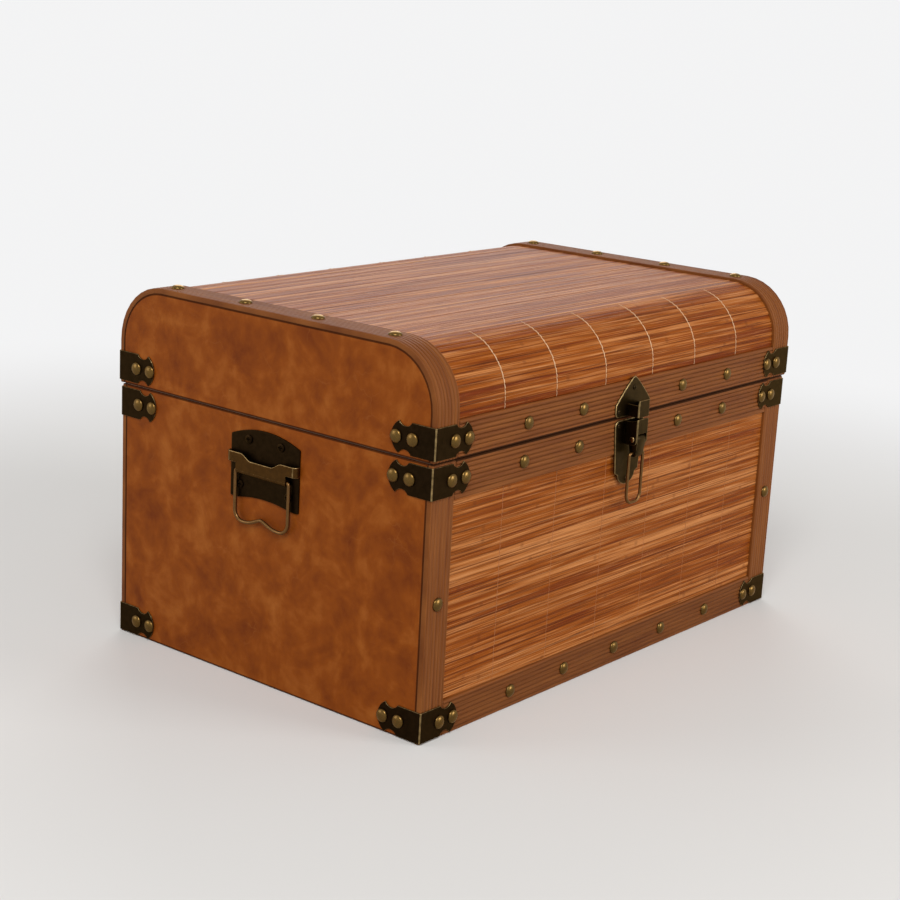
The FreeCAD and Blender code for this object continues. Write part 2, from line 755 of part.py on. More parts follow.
def make_keeper():
    """Pointed plate on the lid, with a hook that the loop drops into from above."""
    front = -trim_face - latch_reach
    back = -lid_trim_face - latch_sheet

    def at(x, z):
        return Vector(x, -lid_trim_face, z)

    slope_x = (keeper_plate_half + keeper_tip_half) / 2
    tip_side = keeper_plate_tip - keeper_side_bulge
    slope_z = (keeper_plate_shoulder + tip_side) / 2
    bulge = keeper_side_bulge
    corner = keeper_foot_corner
    foot_half = keeper_plate_half - corner
    foot_top = lid_foot + corner
    steps = [corner_step(at, -foot_half, lid_foot, -foot_half, foot_top, -corner, -corner)]
    steps.append([at(foot_half, lid_foot)])
    steps.append(corner_step(at, keeper_plate_half, foot_top, foot_half, foot_top, corner, -corner))
    steps.append([at(keeper_plate_half, keeper_plate_shoulder)])
    steps.append([at(slope_x + bulge, slope_z + bulge), at(keeper_tip_half, tip_side)])
    steps.append([at(0, keeper_plate_tip), at(-keeper_tip_half, tip_side)])
    steps.append([at(-slope_x - bulge, slope_z + bulge), at(-keeper_plate_half, keeper_plate_shoulder)])
    plate = face(at(-keeper_plate_half, foot_top), steps).extrude(Vector(0, -latch_sheet, 0))

    def side(y, z):
        return Vector(-latch_half_width, y, z)

    lip_back = front + latch_sheet
    steps = [[side(front, lid_foot)], [side(front, keeper_lip)], [side(lip_back, keeper_lip)]]
    steps += [[side(lip_back, keeper_seat)], [side(back, keeper_seat)]]
    hook = folded_channel(face(side(back, lid_foot), steps), back, lid_foot, keeper_lip)
    export("latch_keeper", plate.fuse(hook).removeSplitter())
    side_x = keeper_plate_half - latch_screw_edge
    low = lid_foot + latch_screw_edge
    tip = keeper_plate_tip - keeper_tip_screw
    latch_screws("latch_keeper_screws", back, [(-side_x, low), (side_x, low), (0, tip)])


def make_latch_base():
    """Base plate on the body, with two cheeks that carry the pin and a short wall across their front."""
    front = -trim_face - latch_reach
    back = -trim_face - latch_sheet
    corner = base_plate_corner
    shoulder = base_plate_half - corner

    def at(x, z):
        return Vector(x, -trim_face, z)

    step_z = base_plate_waist - (base_plate_waist_half - base_plate_step_half) / 2
    round_x = base_plate_step_half * math.sqrt(0.5)
    round_z = step_z - (step_z - base_plate_bottom) * (1 - math.sqrt(0.5)) * 2
    steps = [corner_step(at, -base_plate_half, base_plate_top - corner, -shoulder, base_plate_top - corner,
                         -corner, corner)]
    steps.append([at(-base_plate_waist_half, base_plate_waist)])
    steps.append([at(-base_plate_step_half, step_z)])
    steps.append([at(-round_x, round_z), at(0, base_plate_bottom)])
    steps.append([at(round_x, round_z), at(base_plate_step_half, step_z)])
    steps.append([at(base_plate_waist_half, base_plate_waist)])
    steps.append([at(base_plate_half, base_plate_top - corner)])
    steps.append(corner_step(at, shoulder, base_plate_top, shoulder, base_plate_top - corner, corner, corner))
    plate = face(at(-shoulder, base_plate_top), steps).extrude(Vector(0, -latch_sheet, 0))

    def side(y, z):
        return Vector(-latch_half_width, y, z)

    ear = latch_reach - latch_pin_depth
    ear_bottom = latch_pin_height - ear
    steps = [[side((front + back) / 2, housing_top_middle), side(front, housing_top_front)]]
    steps.append([side(front, latch_pin_height)])
    steps.append(corner_step(side, latch_pin_y, ear_bottom, latch_pin_y, latch_pin_height, -ear, -ear))
    steps.append([side(back, ear_bottom)])
    outline = face(side(back, housing_top_back), steps)
    housing = folded_channel(outline, back, ear_bottom, max(housing_top_back, housing_top_front))
    inner = latch_half_width - latch_sheet
    housing = housing.cut(box(-inner, inner, front, front + latch_sheet, ear_bottom, housing_front_bottom))
    end = Vector(-latch_half_width, latch_pin_y, latch_pin_height)
    pin = Part.makeCylinder(latch_pin_radius, 2 * latch_half_width, end, Vector(1, 0, 0))
    export("latch_base", plate.fuse(housing).removeSplitter().cut(pin))
    rivet = head(latch_pin_head_radius, latch_pin_head, end, Vector(-1, 0, 0))
    export("latch_pin", pin.multiFuse(both_sides(rivet)))
    side_x = base_plate_half - latch_screw_edge
    top = base_plate_top - latch_screw_edge
    low = base_plate_bottom + latch_screw_edge
    latch_screws("latch_base_screws", back, [(-side_x, top), (side_x, top), (0, low)])


def make_latch_lever():
    """Tapered lever: a hub on the pin, an eye for the loop and the tangents between them."""
    lean = math.asin((lever_hub_radius - lever_eye_radius) / lever_length)
    cos_lean = math.cos(lean)
    sin_lean = math.sin(lean)

    def at(out, up):
        return Vector(-lever_hub_half, latch_pin_y - out, latch_pin_height + up)

    hub_out = lever_hub_radius * cos_lean
    hub_up = -lever_hub_radius * sin_lean
    eye_out = lever_eye_radius * cos_lean
    eye_up = -lever_length - lever_eye_radius * sin_lean
    steps = [[at(0, lever_hub_radius), at(hub_out, hub_up)], [at(eye_out, eye_up)]]
    steps.append([at(0, -lever_length - lever_eye_radius), at(-eye_out, eye_up)])
    blank = face(at(-hub_out, hub_up), steps).extrude(Vector(2 * lever_hub_half, 0, 0))
    tall = latch_pin_height + lever_hub_radius
    low = loop_pivot_height - lever_eye_radius
    thick = latch_pin_y + lever_hub_radius
    taper = face(Vector(-lever_hub_half, thick, tall), [[Vector(lever_hub_half, thick, tall)],
                 [Vector(lever_hub_half, thick, latch_pin_height)], [Vector(lever_eye_half, thick, low)],
                 [Vector(-lever_eye_half, thick, low)], [Vector(-lever_hub_half, thick, latch_pin_height)]])
    lever = blank.common(taper.extrude(Vector(0, -2 * lever_hub_radius, 0)))
    for radius, height in ((latch_pin_radius, latch_pin_height), (loop_wire / 2, loop_pivot_height)):
        bore = Part.makeCylinder(radius + running_clearance, 2 * lever_hub_half,
                                 Vector(-lever_hub_half, latch_pin_y, height), Vector(1, 0, 0))
        lever = lever.cut(bore)
    export("latch_lever", lever)


def make_latch_loop():
    half = loop_half_width
    bottom = loop_pivot_height - loop_length
    corner = half - loop_corner
    corner_top = bottom + loop_corner
    start_x = lever_eye_half - loop_pin_length
    turn = loop_pivot_height - loop_bend
    bend = half - loop_bend

    def at(x, z):
        return Vector(x, latch_pin_y, z)

    steps = [[at(-bend, loop_pivot_height)]]
    steps.append(corner_step(at, -half, turn, -bend, turn, -loop_bend, loop_bend))
    steps.append([at(-half, corner_top)])
    steps.append(corner_step(at, -corner, bottom, -corner, corner_top, -loop_corner, -loop_corner))
    steps.append([at(corner, bottom)])
    steps.append(corner_step(at, half, corner_top, corner, corner_top, loop_corner, -loop_corner))
    steps.append([at(half, turn)])
    steps.append(corner_step(at, bend, loop_pivot_height, bend, turn, loop_bend, loop_bend))
    steps.append([at(start_x, loop_pivot_height)])
    start = at(-start_x, loop_pivot_height)
    export("latch_loop", wire_solid(path(start, steps), loop_wire))


# Hinges

def barrel(x0, x1, radius):
    return Part.makeCylinder(radius, x1 - x0, Vector(x0, hinge_axis_y, seam_height), Vector(1, 0, 0))


def make_hinges():
    """Two stop hinges on the back rails: the body leaf's lug holds the lid leaf at the open angle."""
    x0 = hinge_x - hinge_length / 2
    x1 = hinge_x + hinge_length / 2
    k0 = hinge_x - hinge_lid_knuckle / 2
    k1 = hinge_x + hinge_lid_knuckle / 2
    leaf_face = lid_trim_face + hinge_leaf
    run_out = hinge_barrel_radius + hinge_knuckle_gap
    middle_room = barrel(k0 - hinge_knuckle_gap, k1 + hinge_knuckle_gap, run_out)
    pin_room = barrel(x0, x1, hinge_pin_radius + running_clearance)

    lid_leaf = box(x0, x1, lid_trim_face, leaf_face, seam_height, seam_height + hinge_leaf_height)
    rooms = [barrel(x0, k0, run_out), barrel(k1, x1, run_out)]
    for start, end in ((x0, k0), (k1, x1)):
        rooms.append(box(start, end, lid_trim_face, leaf_face, seam_height, seam_height + hinge_knuckle_gap))
    lid_leaf = lid_leaf.cut(rooms).fuse(barrel(k0, k1, hinge_barrel_radius)).cut(pin_room)

    bend = seam_height - hinge_joggle
    foot = seam_height - hinge_leaf_height

    def at(y, z):
        return Vector(x0, y, z)

    steps = [[at(trim_face + hinge_leaf, foot)], [at(trim_face + hinge_leaf, bend)]]
    steps.append([at(leaf_face, bend + lid_overhang_front)])
    steps += [[at(leaf_face, seam_height)], [at(lid_trim_face, seam_height)]]
    steps += [[at(lid_trim_face, bend + lid_overhang_front)], [at(trim_face, bend)]]
    body_leaf = face(at(trim_face, foot), steps).extrude(Vector(hinge_length, 0, 0))
    knuckles = [barrel(x0, k0 - hinge_knuckle_gap, hinge_barrel_radius),
                barrel(k1 + hinge_knuckle_gap, x1, hinge_barrel_radius)]
    body_leaf = body_leaf.cut(middle_room).multiFuse(knuckles + [hinge_stop(k0, k1, leaf_face)]).cut(pin_room)

    export("left_hinge_body_leaf", mirrored(body_leaf, Vector(1, 0, 0)))
    export("right_hinge_body_leaf", body_leaf)
    export("left_hinge_lid_leaf", mirrored(lid_leaf, Vector(1, 0, 0)))
    export("right_hinge_lid_leaf", lid_leaf)
    export("hinge_pins", *both_sides(barrel(x0, x1, hinge_pin_radius)))
    body_heads = []
    lid_heads = []
    for step in (-1, 0, 1):
        x = hinge_x + step * hinge_screw_spread
        low = Vector(x, trim_face + hinge_leaf, seam_height - hinge_body_screw_drop)
        high = Vector(x, leaf_face, seam_height + hinge_lid_screw_rise)
        body_heads += both_sides(head(hinge_screw_radius, hinge_screw_height, low, Vector(0, 1, 0)))
        lid_heads += both_sides(head(hinge_screw_radius, hinge_screw_height, high, Vector(0, 1, 0)))
    export("hinge_body_screws", *body_heads)
    export("hinge_lid_screws", *lid_heads)


def hinge_stop(x0, x1, leaf_face):
    """Lug that passes under the barrel and turns up to meet the opened lid leaf's face."""
    angle = math.radians(hinge_open_angle)
    inset = hinge_axis_y - leaf_face
    arm_top = -hinge_barrel_radius - hinge_stop_gap
    inner = hinge_stop_reach - hinge_stop_arm

    def top(out):
        """Height of the opened leaf's face over the axis, less the clearance."""
        along = (out + inset * math.cos(angle)) / math.sin(angle)
        return along * math.cos(angle) + inset * math.sin(angle) - hinge_stop_clearance

    def at(out, up):
        return Vector(x0, hinge_axis_y + out, seam_height + up)

    steps = [[at(hinge_stop_reach, arm_top - hinge_stop_arm)], [at(hinge_stop_reach, top(hinge_stop_reach))]]
    steps += [[at(inner, top(inner))], [at(inner, arm_top)], [at(-inset, arm_top)]]
    return face(at(-inset, arm_top - hinge_stop_arm), steps).extrude(Vector(x1 - x0, 0, 0))


os.makedirs("parts", exist_ok=True)
make_boards()
make_end_leather()
make_body_lining()
make_wall_mats()
make_posts()
make_rail("bottom_rail", post_inner, wall_face, 0, bottom_rail_height)
make_rail("top_rail", post_inner, wall_face, body_top - top_rail_height, top_rail_height)
make_lid_boards()
make_lid_leather()
make_lid_lining()
make_lid_mat()
make_lid_bands()
make_rail("lid_rail", band_inner, lid_wall_face, lid_foot, lid_rail_height)
make_corner_ironwork()
make_trim_nails()
make_handles()
make_keeper()
make_latch_base()
make_latch_lever()
make_latch_loop()
make_hinges()
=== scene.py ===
import math

import bmesh
import bpy
import numpy as np
from mathutils import Matrix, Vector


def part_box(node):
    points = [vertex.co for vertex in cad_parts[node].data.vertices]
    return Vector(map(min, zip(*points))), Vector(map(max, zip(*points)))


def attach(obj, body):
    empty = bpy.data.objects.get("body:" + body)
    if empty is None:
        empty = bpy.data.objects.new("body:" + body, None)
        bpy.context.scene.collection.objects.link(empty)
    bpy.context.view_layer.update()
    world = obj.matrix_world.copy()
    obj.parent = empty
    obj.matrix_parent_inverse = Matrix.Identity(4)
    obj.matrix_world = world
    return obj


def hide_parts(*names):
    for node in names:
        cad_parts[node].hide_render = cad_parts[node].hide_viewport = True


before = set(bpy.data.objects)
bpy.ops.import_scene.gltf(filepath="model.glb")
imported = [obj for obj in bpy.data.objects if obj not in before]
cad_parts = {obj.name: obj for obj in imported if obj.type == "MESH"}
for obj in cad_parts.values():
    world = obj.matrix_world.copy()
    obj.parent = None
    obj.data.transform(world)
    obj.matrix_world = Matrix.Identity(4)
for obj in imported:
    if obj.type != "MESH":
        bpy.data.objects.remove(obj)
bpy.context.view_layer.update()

bl_info = {
    "name": "Bamboo trunk",
    "version": (1, 0, 0),
    "blender": (4, 5, 0),
    "location": "View3D > Sidebar > Trunk",
    "description": "Dresses the packed trunk with bamboo matting, leatherette, reeded trim and ironwork",
    "category": "Object",
}

# Shapes are worked out in millimetres and put into metres when a mesh is made.
MM = 0.001
METRE = 1000
X, Y, Z = 0, 1, 2
BACKGROUND = (0.9, 0.9, 0.905, 1.0)


def span(node_name, axis):
    """Lowest and highest value of a CAD node along an axis, in millimetres."""
    low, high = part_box(node_name)
    return low[axis] / MM, high[axis] / MM


def linear(code):
    """Linear RGBA of an sRGB hex colour."""
    value = np.array([int(code[k:k + 2], 16) for k in (1, 3, 5)]) / 255
    curve = np.where(value <= 0.04045, value / 12.92, ((value + 0.055) / 1.055) ** 2.4)
    return tuple(float(part) for part in curve) + (1.0,)


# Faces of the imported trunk
END_X = span("right_end_leather", X)[1]
BOARD_X = span("right_end_board", X)[1]
TRIM_Y = span("back_bottom_rail", Y)[1]
WALL_Y = span("back_bottom_rail", Y)[0]
RIM_Z = span("front_left_post", Z)[1]
POST_X = span("front_right_post", X)[0]
LID_END_X = span("lid_right_leather", X)[1]
LID_BOARD_X = span("lid_right_end_board", X)[1]
LID_TRIM_Y = span("back_lid_rail", Y)[1]
LID_WALL_Y = span("back_lid_rail", Y)[0]
LID_FOOT_Z = span("lid_left_band", Z)[0]
LID_TOP_Z = span("lid_shell", Z)[1]
BAND_X = span("lid_right_band", X)[0]
LID_RADIUS = 44.5
ARC_Y = LID_WALL_Y - LID_RADIUS
ARC_Z = LID_TOP_Z - LID_RADIUS


def size_property(name, description, default):
    return bpy.props.FloatProperty(name=name, description=description, default=default * MM, unit="LENGTH", precision=5)


def colour_property(name, description, code):
    return bpy.props.FloatVectorProperty(name=name, description=description, default=linear(code), size=4,
                                         min=0.0, max=1.0, subtype="COLOR")


class TrunkSizes(bpy.types.PropertyGroup):
    """Sizes of the trunk's coverings and small parts."""
    slat_width: size_property("Slat width", "Average width of a bamboo slat", 4.6)
    slat_crown: size_property("Slat crown", "Height of a slat's crown over the mat's back", 2.25)
    slat_valley: size_property("Slat valley", "Height of the groove between two slats", 1.85)
    lid_thread: size_property("Lid thread", "Radius of the threads that sew the lid's mat", 0.46)
    body_thread: size_property("Body thread", "Radius of the threads that sew the walls' mats", 0.2)
    trim_thickness: size_property("Trim thickness", "Thickness of the reeded trim", 4.5)
    reed_pitch: size_property("Reed pitch", "Distance between two grooves of the trim", 3.7)
    reed_depth: size_property("Reed depth", "Depth of the grooves beside the reeds", 0.95)
    leather_edge: size_property("Leather edge", "Radius of the turned edge of the leatherette", 0.7)
    nail_radius: size_property("Nail radius", "Radius of a domed nail's head", 5.4)
    nail_height: size_property("Nail height", "Height of a domed nail's head", 2.7)


class TrunkColours(bpy.types.PropertyGroup):
    """Colours of the trunk's finishes."""
    leather_dark: colour_property("Leather dark", "Dark clouds of the leatherette", "#682E07")
    leather_base: colour_property("Leather", "Main tan of the leatherette", "#82400B")
    leather_light: colour_property("Leather light", "Pale clouds of the leatherette", "#9C5920")
    bamboo_dark: colour_property("Bamboo dark", "Dark slats and joints", "#702E08")
    bamboo_base: colour_property("Bamboo", "Main colour of the slats", "#914B10")
    bamboo_light: colour_property("Bamboo light", "Pale slats", "#BE7C46")
    trim_dark: colour_property("Trim dark", "Dark grain of the reeded trim", "#5E2E0E")
    trim_light: colour_property("Trim light", "Pale grain of the reeded trim", "#875023")
    thread: colour_property("Thread", "Sewing thread of the lid's mat", "#DDBB94")
    worn_thread: colour_property("Worn thread", "Sewing thread of the walls' mats", "#B9794A")
    iron: colour_property("Ironwork", "Blackened sheet of brackets, plates and latch", "#21160B")
    latch: colour_property("Latch", "Bronzed sheet of the latch", "#2E2312")
    worn: colour_property("Worn edges", "Bronze that shows at worn edges", "#B59866")
    brass: colour_property("Brass", "Domed nails", "#664C20")
    bronze: colour_property("Bronze", "Straps, bails and wire loop", "#472E11")
    board: colour_property("Board", "Raw edges of the boards", "#6A4526")
    lining: colour_property("Lining", "Cloth inside the trunk", "#5B4636")
    floor: colour_property("Floor", "Studio floor", "#DDDBD8")


# Mesh tools

def lattice(points, close_rows=False, close_columns=False, uv=None, **marks):
    """Surface through a grid of points (rows, columns, 3), with a quad between each four neighbours."""
    rows, columns = points.shape[:2]
    row = np.arange(rows if close_rows else rows - 1)[:, None]
    column = np.arange(columns if close_columns else columns - 1)[None, :]
    row_after = (row + 1) % rows
    column_after = (column + 1) % columns
    corners = np.broadcast_arrays(row * columns + column, row * columns + column_after,
                                  row_after * columns + column_after, row_after * columns + column)
    flat = {name: np.broadcast_to(value, (rows, columns)).reshape(-1) for name, value in marks.items()}
    place = np.zeros((rows * columns, 2)) if uv is None else uv.reshape(-1, 2)
    return {"points": points.reshape(-1, 3), "faces": np.stack(corners, axis=-1).reshape(-1, 4).tolist(),
            "uv": place, "marks": flat, "grid": (rows, columns)}


def capped(surface):
    """Closes the first and last row of a lattice whose columns run round."""
    rows, columns = surface["grid"]
    surface["faces"].append(list(range(columns)))
    surface["faces"].append(list(range((rows - 1) * columns, rows * columns)))
    return surface


def mirrored(surface, *axes):
    """The surface on the other side of the planes through the origin."""
    signs = np.array([-1.0 if axis in axes else 1.0 for axis in (X, Y, Z)])
    return {**surface, "points": surface["points"] * signs}


def four_corners(surface):
    return [surface, mirrored(surface, X), mirrored(surface, Y), mirrored(surface, X, Y)]


def make(name, surfaces, material, body, nodes=(), crease=35.0):
    """One mesh object of welded surfaces, riding on a body and standing for nodes."""
    starts = np.cumsum([0] + [len(surface["points"]) for surface in surfaces])
    points = np.concatenate([surface["points"] for surface in surfaces]) * MM
    faces = [[start + corner for corner in face]
             for start, surface in zip(starts.tolist(), surfaces) for face in surface["faces"]]
    mesh = bpy.data.meshes.new(name)
    mesh.from_pydata(points.tolist(), [], faces)
    uv = np.concatenate([surface["uv"] for surface in surfaces]) * MM
    corner_points = np.empty(len(mesh.loops), dtype=np.int32)
    mesh.loops.foreach_get("vertex_index", corner_points)
    layer = mesh.uv_layers.new(name="UVMap")
    layer.uv.foreach_set("vector", uv[corner_points].astype(np.float32).reshape(-1))
    for mark in surfaces[0]["marks"]:
        values = np.concatenate([surface["marks"][mark] for surface in surfaces])
        attribute = mesh.attributes.new(mark, "FLOAT", "POINT")
        attribute.data.foreach_set("value", values.astype(np.float32))
    for mark in surfaces[0].get("face_marks", {}):
        values = np.concatenate([surface["face_marks"][mark] for surface in surfaces])
        attribute = mesh.attributes.new(mark, "FLOAT", "FACE")
        attribute.data.foreach_set("value", values.astype(np.float32))
    weld(mesh)
    mesh.polygons.foreach_set("use_smooth", np.ones(len(mesh.polygons), dtype=bool))
    mesh.set_sharp_from_angle(angle=math.radians(crease))
    mesh.materials.append(material)
    piece = bpy.data.objects.new(name, mesh)
    bpy.context.scene.collection.objects.link(piece)
    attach(piece, body)
    if nodes:
        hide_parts(*nodes)
    return piece


def weld(mesh):
    """Merges doubled points at seams and poles, then turns every face outwards."""
    same_point = 2e-6
    solid = bmesh.new()
    solid.from_mesh(mesh)
    bmesh.ops.remove_doubles(solid, verts=solid.verts, dist=same_point)
    bmesh.ops.recalc_face_normals(solid, faces=solid.faces)
    solid.to_mesh(mesh)
    solid.free()


def arc(centre, radius, start, end, count):
    """Points (count, 2) round a centre from one angle to another, in degrees."""
    angle = np.radians(np.linspace(start, end, count))
    return np.stack([centre[0] + radius * np.cos(angle), centre[1] + radius * np.sin(angle)], axis=-1)


def travelled(path):
    """Distance along a path (n, 3) at each of its points."""
    return np.concatenate([[0.0], np.cumsum(np.linalg.norm(np.diff(path, axis=0), axis=1))])


def tube(path, radius, side, sides=14):
    """Round wire along a path in a plane: path + radius * (cos a * normal + sin a * side)."""
    side = np.array(side, dtype=float)
    leg = np.diff(path, axis=0)
    leg /= np.linalg.norm(leg, axis=1, keepdims=True)
    run = np.concatenate([leg[:1], leg[:-1] + leg[1:], leg[-1:]])
    run /= np.linalg.norm(run, axis=1, keepdims=True)
    normal = np.cross(run, side)
    angle = np.linspace(0, 2 * np.pi, sides, endpoint=False)
    ring = np.cos(angle)[None, :, None] * normal[:, None, :] + np.sin(angle)[None, :, None] * side
    thick = np.broadcast_to(radius, len(path))[:, None, None]
    along = np.broadcast_to(travelled(path)[:, None], (len(path), sides))
    uv = np.stack([along, np.broadcast_to(angle, along.shape)], axis=-1)
    return capped(lattice(path[:, None, :] + thick * ring, close_columns=True, uv=uv, edge=0.0))


def in_plane(points, axis, value):
    """Points (n, 2) put into the plane where the axis has that value."""
    return np.insert(points, axis, value, axis=1)


def turned(base, out, share, level, radius, recess=0.0, sides=20, rim=1.0):
    """Head turned about out: base + r * (cos a * e1 + sin a * e2) + h * out, less a cross recess in its top."""
    out = np.array(out, dtype=float)
    first = np.roll(out, 1)
    second = np.cross(out, first)
    angle = np.linspace(0, 2 * np.pi, sides, endpoint=False)
    r = radius * share[:, None]
    slot_half, slot_reach, slot_end, slot_wall = 0.15 * radius, 0.6 * radius, 0.08 * radius, 1.3
    across = r * np.minimum(np.abs(np.cos(angle)), np.abs(np.sin(angle)))
    cut = np.clip(slot_wall - across / slot_half, 0, 1) * np.clip((slot_reach - r) / slot_end, 0, 1)
    cut[:2] = 0.0
    height = level[:, None] - recess * cut
    ring = np.cos(angle)[:, None] * first + np.sin(angle)[:, None] * second
    points = np.array(base, dtype=float) + r[..., None] * ring + height[..., None] * out
    return lattice(points, close_columns=True, edge=rim * share[:, None])


def dome(base, out, radius, height):
    """Domed head: a short upright rim, then a quarter ellipse up to the crown."""
    rim = 0.12 * height
    turn = np.linspace(0, np.pi / 2, 7)
    share = np.concatenate([[0.0, 1.0], np.cos(turn)])
    level = np.concatenate([[0.0, 0.0], rim + (height - rim) * np.sin(turn)])
    return turned(base, out, share, level, radius)


def screw(base, out, radius, height):
    """Round screw head with a cross recess."""
    share = np.array([0.0, 1.0, 1.0, 0.94, 0.82, 0.68, 0.6, 0.52, 0.4, 0.28, 0.16, 0.08, 0.0])
    level = height * np.sqrt(1 - 0.7 * share ** 2)
    level[:3] = (0.0, 0.0, 0.4 * height)
    return turned(base, out, share, level, radius, 0.75 * height, 32, 0.4)


def strip(path, outward, foot, top, sheet, bevel, fold=0.0):
    """Bent sheet with chamfered edges: each point of path (n, 2) stands up from foot to top, and outward gives the way
    of its thickness."""
    run = travelled(in_plane(path, Z, 0.0))
    from_end = np.minimum(run, run[-1] - run)[:, None]
    half = (top - foot)[:, None] / 2
    inset = np.array([0.0, 0.0, 0.35 * bevel, bevel, 3.0 * bevel])
    out = np.array([0.0, sheet - bevel, sheet - 0.35 * bevel, sheet, sheet])
    wear = np.array([0.5, 1.0, 1.0, 0.7, 0.0])
    low = foot[:, None] + np.minimum(inset, half)
    high = top[:, None] - np.minimum(inset, half)
    height = np.concatenate([low, high[:, ::-1]], axis=1)
    thick = np.minimum(np.concatenate([out, out[::-1]]), sheet - np.maximum(bevel - from_end, 0.0))
    points = np.concatenate([path[:, None, :] + outward[:, None, :] * thick[:, :, None], height[:, :, None]], axis=2)
    worn = np.maximum(np.concatenate([wear, wear[::-1]]), np.clip(1.2 - from_end / (2 * bevel), 0.0, 1.0))
    worn = np.maximum(worn, np.broadcast_to(fold, len(path))[:, None])
    uv = np.stack([np.broadcast_to(run[:, None], height.shape), height], axis=-1)
    return capped(lattice(points, close_columns=True, uv=uv, edge=worn))


def inwards(outline):
    """Vectors one unit into a closed outline (n, 2), mitred at its corners."""
    after = np.roll(outline, -1, axis=0) - outline
    sense = np.sign(np.sum(outline[:, 0] * np.roll(outline[:, 1], -1) - outline[:, 1] * np.roll(outline[:, 0], -1)))
    after = sense * np.stack([-after[:, 1], after[:, 0]], axis=-1) / np.linalg.norm(after, axis=1, keepdims=True)
    before = np.roll(after, 1, axis=0)
    return (before + after) / (1 + np.sum(before * after, axis=1))[:, None]


def plate(outline, axis, back, depth, edge, steps, wear=1.0):
    """Sheet over a closed outline in the plane across axis: rings rise from back, step inwards round a quarter
    ellipse at the edge, then shrink to the middle. A negative depth faces the other way."""
    flat_rim = 1.2
    lift = abs(depth)
    tall = min(edge, lift)
    turn = np.linspace(0, np.pi / 2, steps + 1)
    margin = edge + flat_rim
    step = np.concatenate([[0.0], edge * (1 - np.cos(turn)), [margin]])
    rise = np.concatenate([[0.0], lift - tall + tall * np.sin(turn), [lift]])
    rings = outline + inwards(outline) * step[:, None, None]
    middle = outline.mean(axis=0)
    shrink = np.array([0.75, 0.5, 0.25, 0.0])
    inner = middle + (rings[-1] - middle) * shrink[:, None, None]
    flat = np.concatenate([np.broadcast_to(middle, (1,) + outline.shape), rings, inner])
    level = np.concatenate([[0.0], rise, np.full(len(shrink), lift)])
    # edge mark: wear on the metal plates; on the leatherette it carries painted shade along the turned edges
    worn = wear * np.concatenate([[0.0, 0.6], np.ones(steps + 1), np.zeros(1 + len(shrink))])
    height = np.broadcast_to((back + np.sign(depth) * level)[:, None, None], flat.shape[:2] + (1,))
    points = np.concatenate([flat[:, :, :axis], height, flat[:, :, axis:]], axis=2)
    return lattice(points, close_columns=True, uv=flat, edge=worn[:, None])


def resampled(corners, spacing):
    """Closed outline through corners, with points about spacing apart on its straight sides."""
    corners = np.array(corners, dtype=float)
    points = []
    for start, end in zip(corners, np.roll(corners, -1, axis=0)):
        count = max(1, int(np.linalg.norm(end - start) / spacing))
        points.append(start + (end - start) * np.linspace(0, 1, count, endpoint=False)[:, None])
    return np.concatenate(points)


def mirror_closed(half):
    """Closed outline from its left half, which runs from the middle of one edge to the middle of the other."""
    return np.concatenate([half, half[-2:0:-1] * [-1, 1]])


def both_halves(half, signs=1.0):
    """Open line from its first half, which ends in the middle; signs turn that half into the second."""
    return np.concatenate([half, half[-2::-1] * np.array(signs)])


def set_place(item, right, up, back, place):
    """Puts an object at a place with its own axes along right, up and back."""
    matrix = np.eye(4)
    matrix[:3, :3] = np.stack([right, up, back], axis=1)
    matrix[:3, 3] = place
    item.matrix_world = Matrix(matrix.tolist())


def smooth(share):
    """S-curve from 0 to 1: 3 s ** 2 - 2 s ** 3."""
    share = np.clip(share, 0.0, 1.0)
    return share * share * (3 - 2 * share)


# Material tools

def node(tree, kind, inputs=None, stops=None, **settings):
    """Adds a node: inputs maps sockets to values or to other nodes' sockets, stops fills a colour ramp."""
    made = tree.nodes.new(kind)
    for key, value in settings.items():
        setattr(made, key, value)
    for key, value in (inputs or {}).items():
        if isinstance(value, bpy.types.NodeSocket):
            tree.links.new(value, made.inputs[key])
        else:
            made.inputs[key].default_value = value
    if stops:
        ramp = made.color_ramp.elements
        while len(ramp) < len(stops):
            ramp.new(1.0)
        for element, (position, colour) in zip(ramp, stops):
            element.position = position
            element.color = colour
    return made


def material_tree(name, **sockets):
    """New material with a Principled shader whose constant sockets are set here."""
    material = bpy.data.materials.new(name)
    material.use_nodes = True
    tree = material.node_tree
    shader = tree.nodes["Principled BSDF"]
    for key, value in sockets.items():
        shader.inputs[key.replace("_", " ")].default_value = value
    return material, tree, shader


def per_mm(*sizes):
    """Texture scale at which one feature is as long as each size in millimetres."""
    return tuple(1.0 / (size * MM) for size in sizes)


def finish_material(tree, shader, colour, roughness=None, bump=None, distance=0.1):
    """Links a colour, a roughness and a bump height whose full depth is distance in millimetres."""
    tree.links.new(colour, shader.inputs["Base Color"])
    if roughness is not None:
        tree.links.new(roughness, shader.inputs["Roughness"])
    if bump is not None:
        raised = node(tree, "ShaderNodeBump", {"Height": bump, "Strength": 1.0, "Distance": distance * MM})
        tree.links.new(raised.outputs["Normal"], shader.inputs["Normal"])


def calc(tree, operation, *values, clamp=False):
    """Socket of a Math node."""
    return node(tree, "ShaderNodeMath", dict(enumerate(values)), operation=operation, use_clamp=clamp).outputs[0]


def weighted(tree, value, weight, rest):
    """Socket of value * weight + rest."""
    return calc(tree, "MULTIPLY_ADD", value, weight, rest)


def ranged(tree, value, start, end, low, high):
    """Socket that runs from low to high while value runs from start to end, and stays there beyond."""
    return node(tree, "ShaderNodeMapRange", {0: value, 1: start, 2: end, 3: low, 4: high}).outputs[0]


def blend(tree, share, first, second):
    """Socket of a colour that goes from first to second as share goes from 0 to 1."""
    return node(tree, "ShaderNodeMix", {0: share, 6: first, 7: second}, data_type="RGBA").outputs[2]


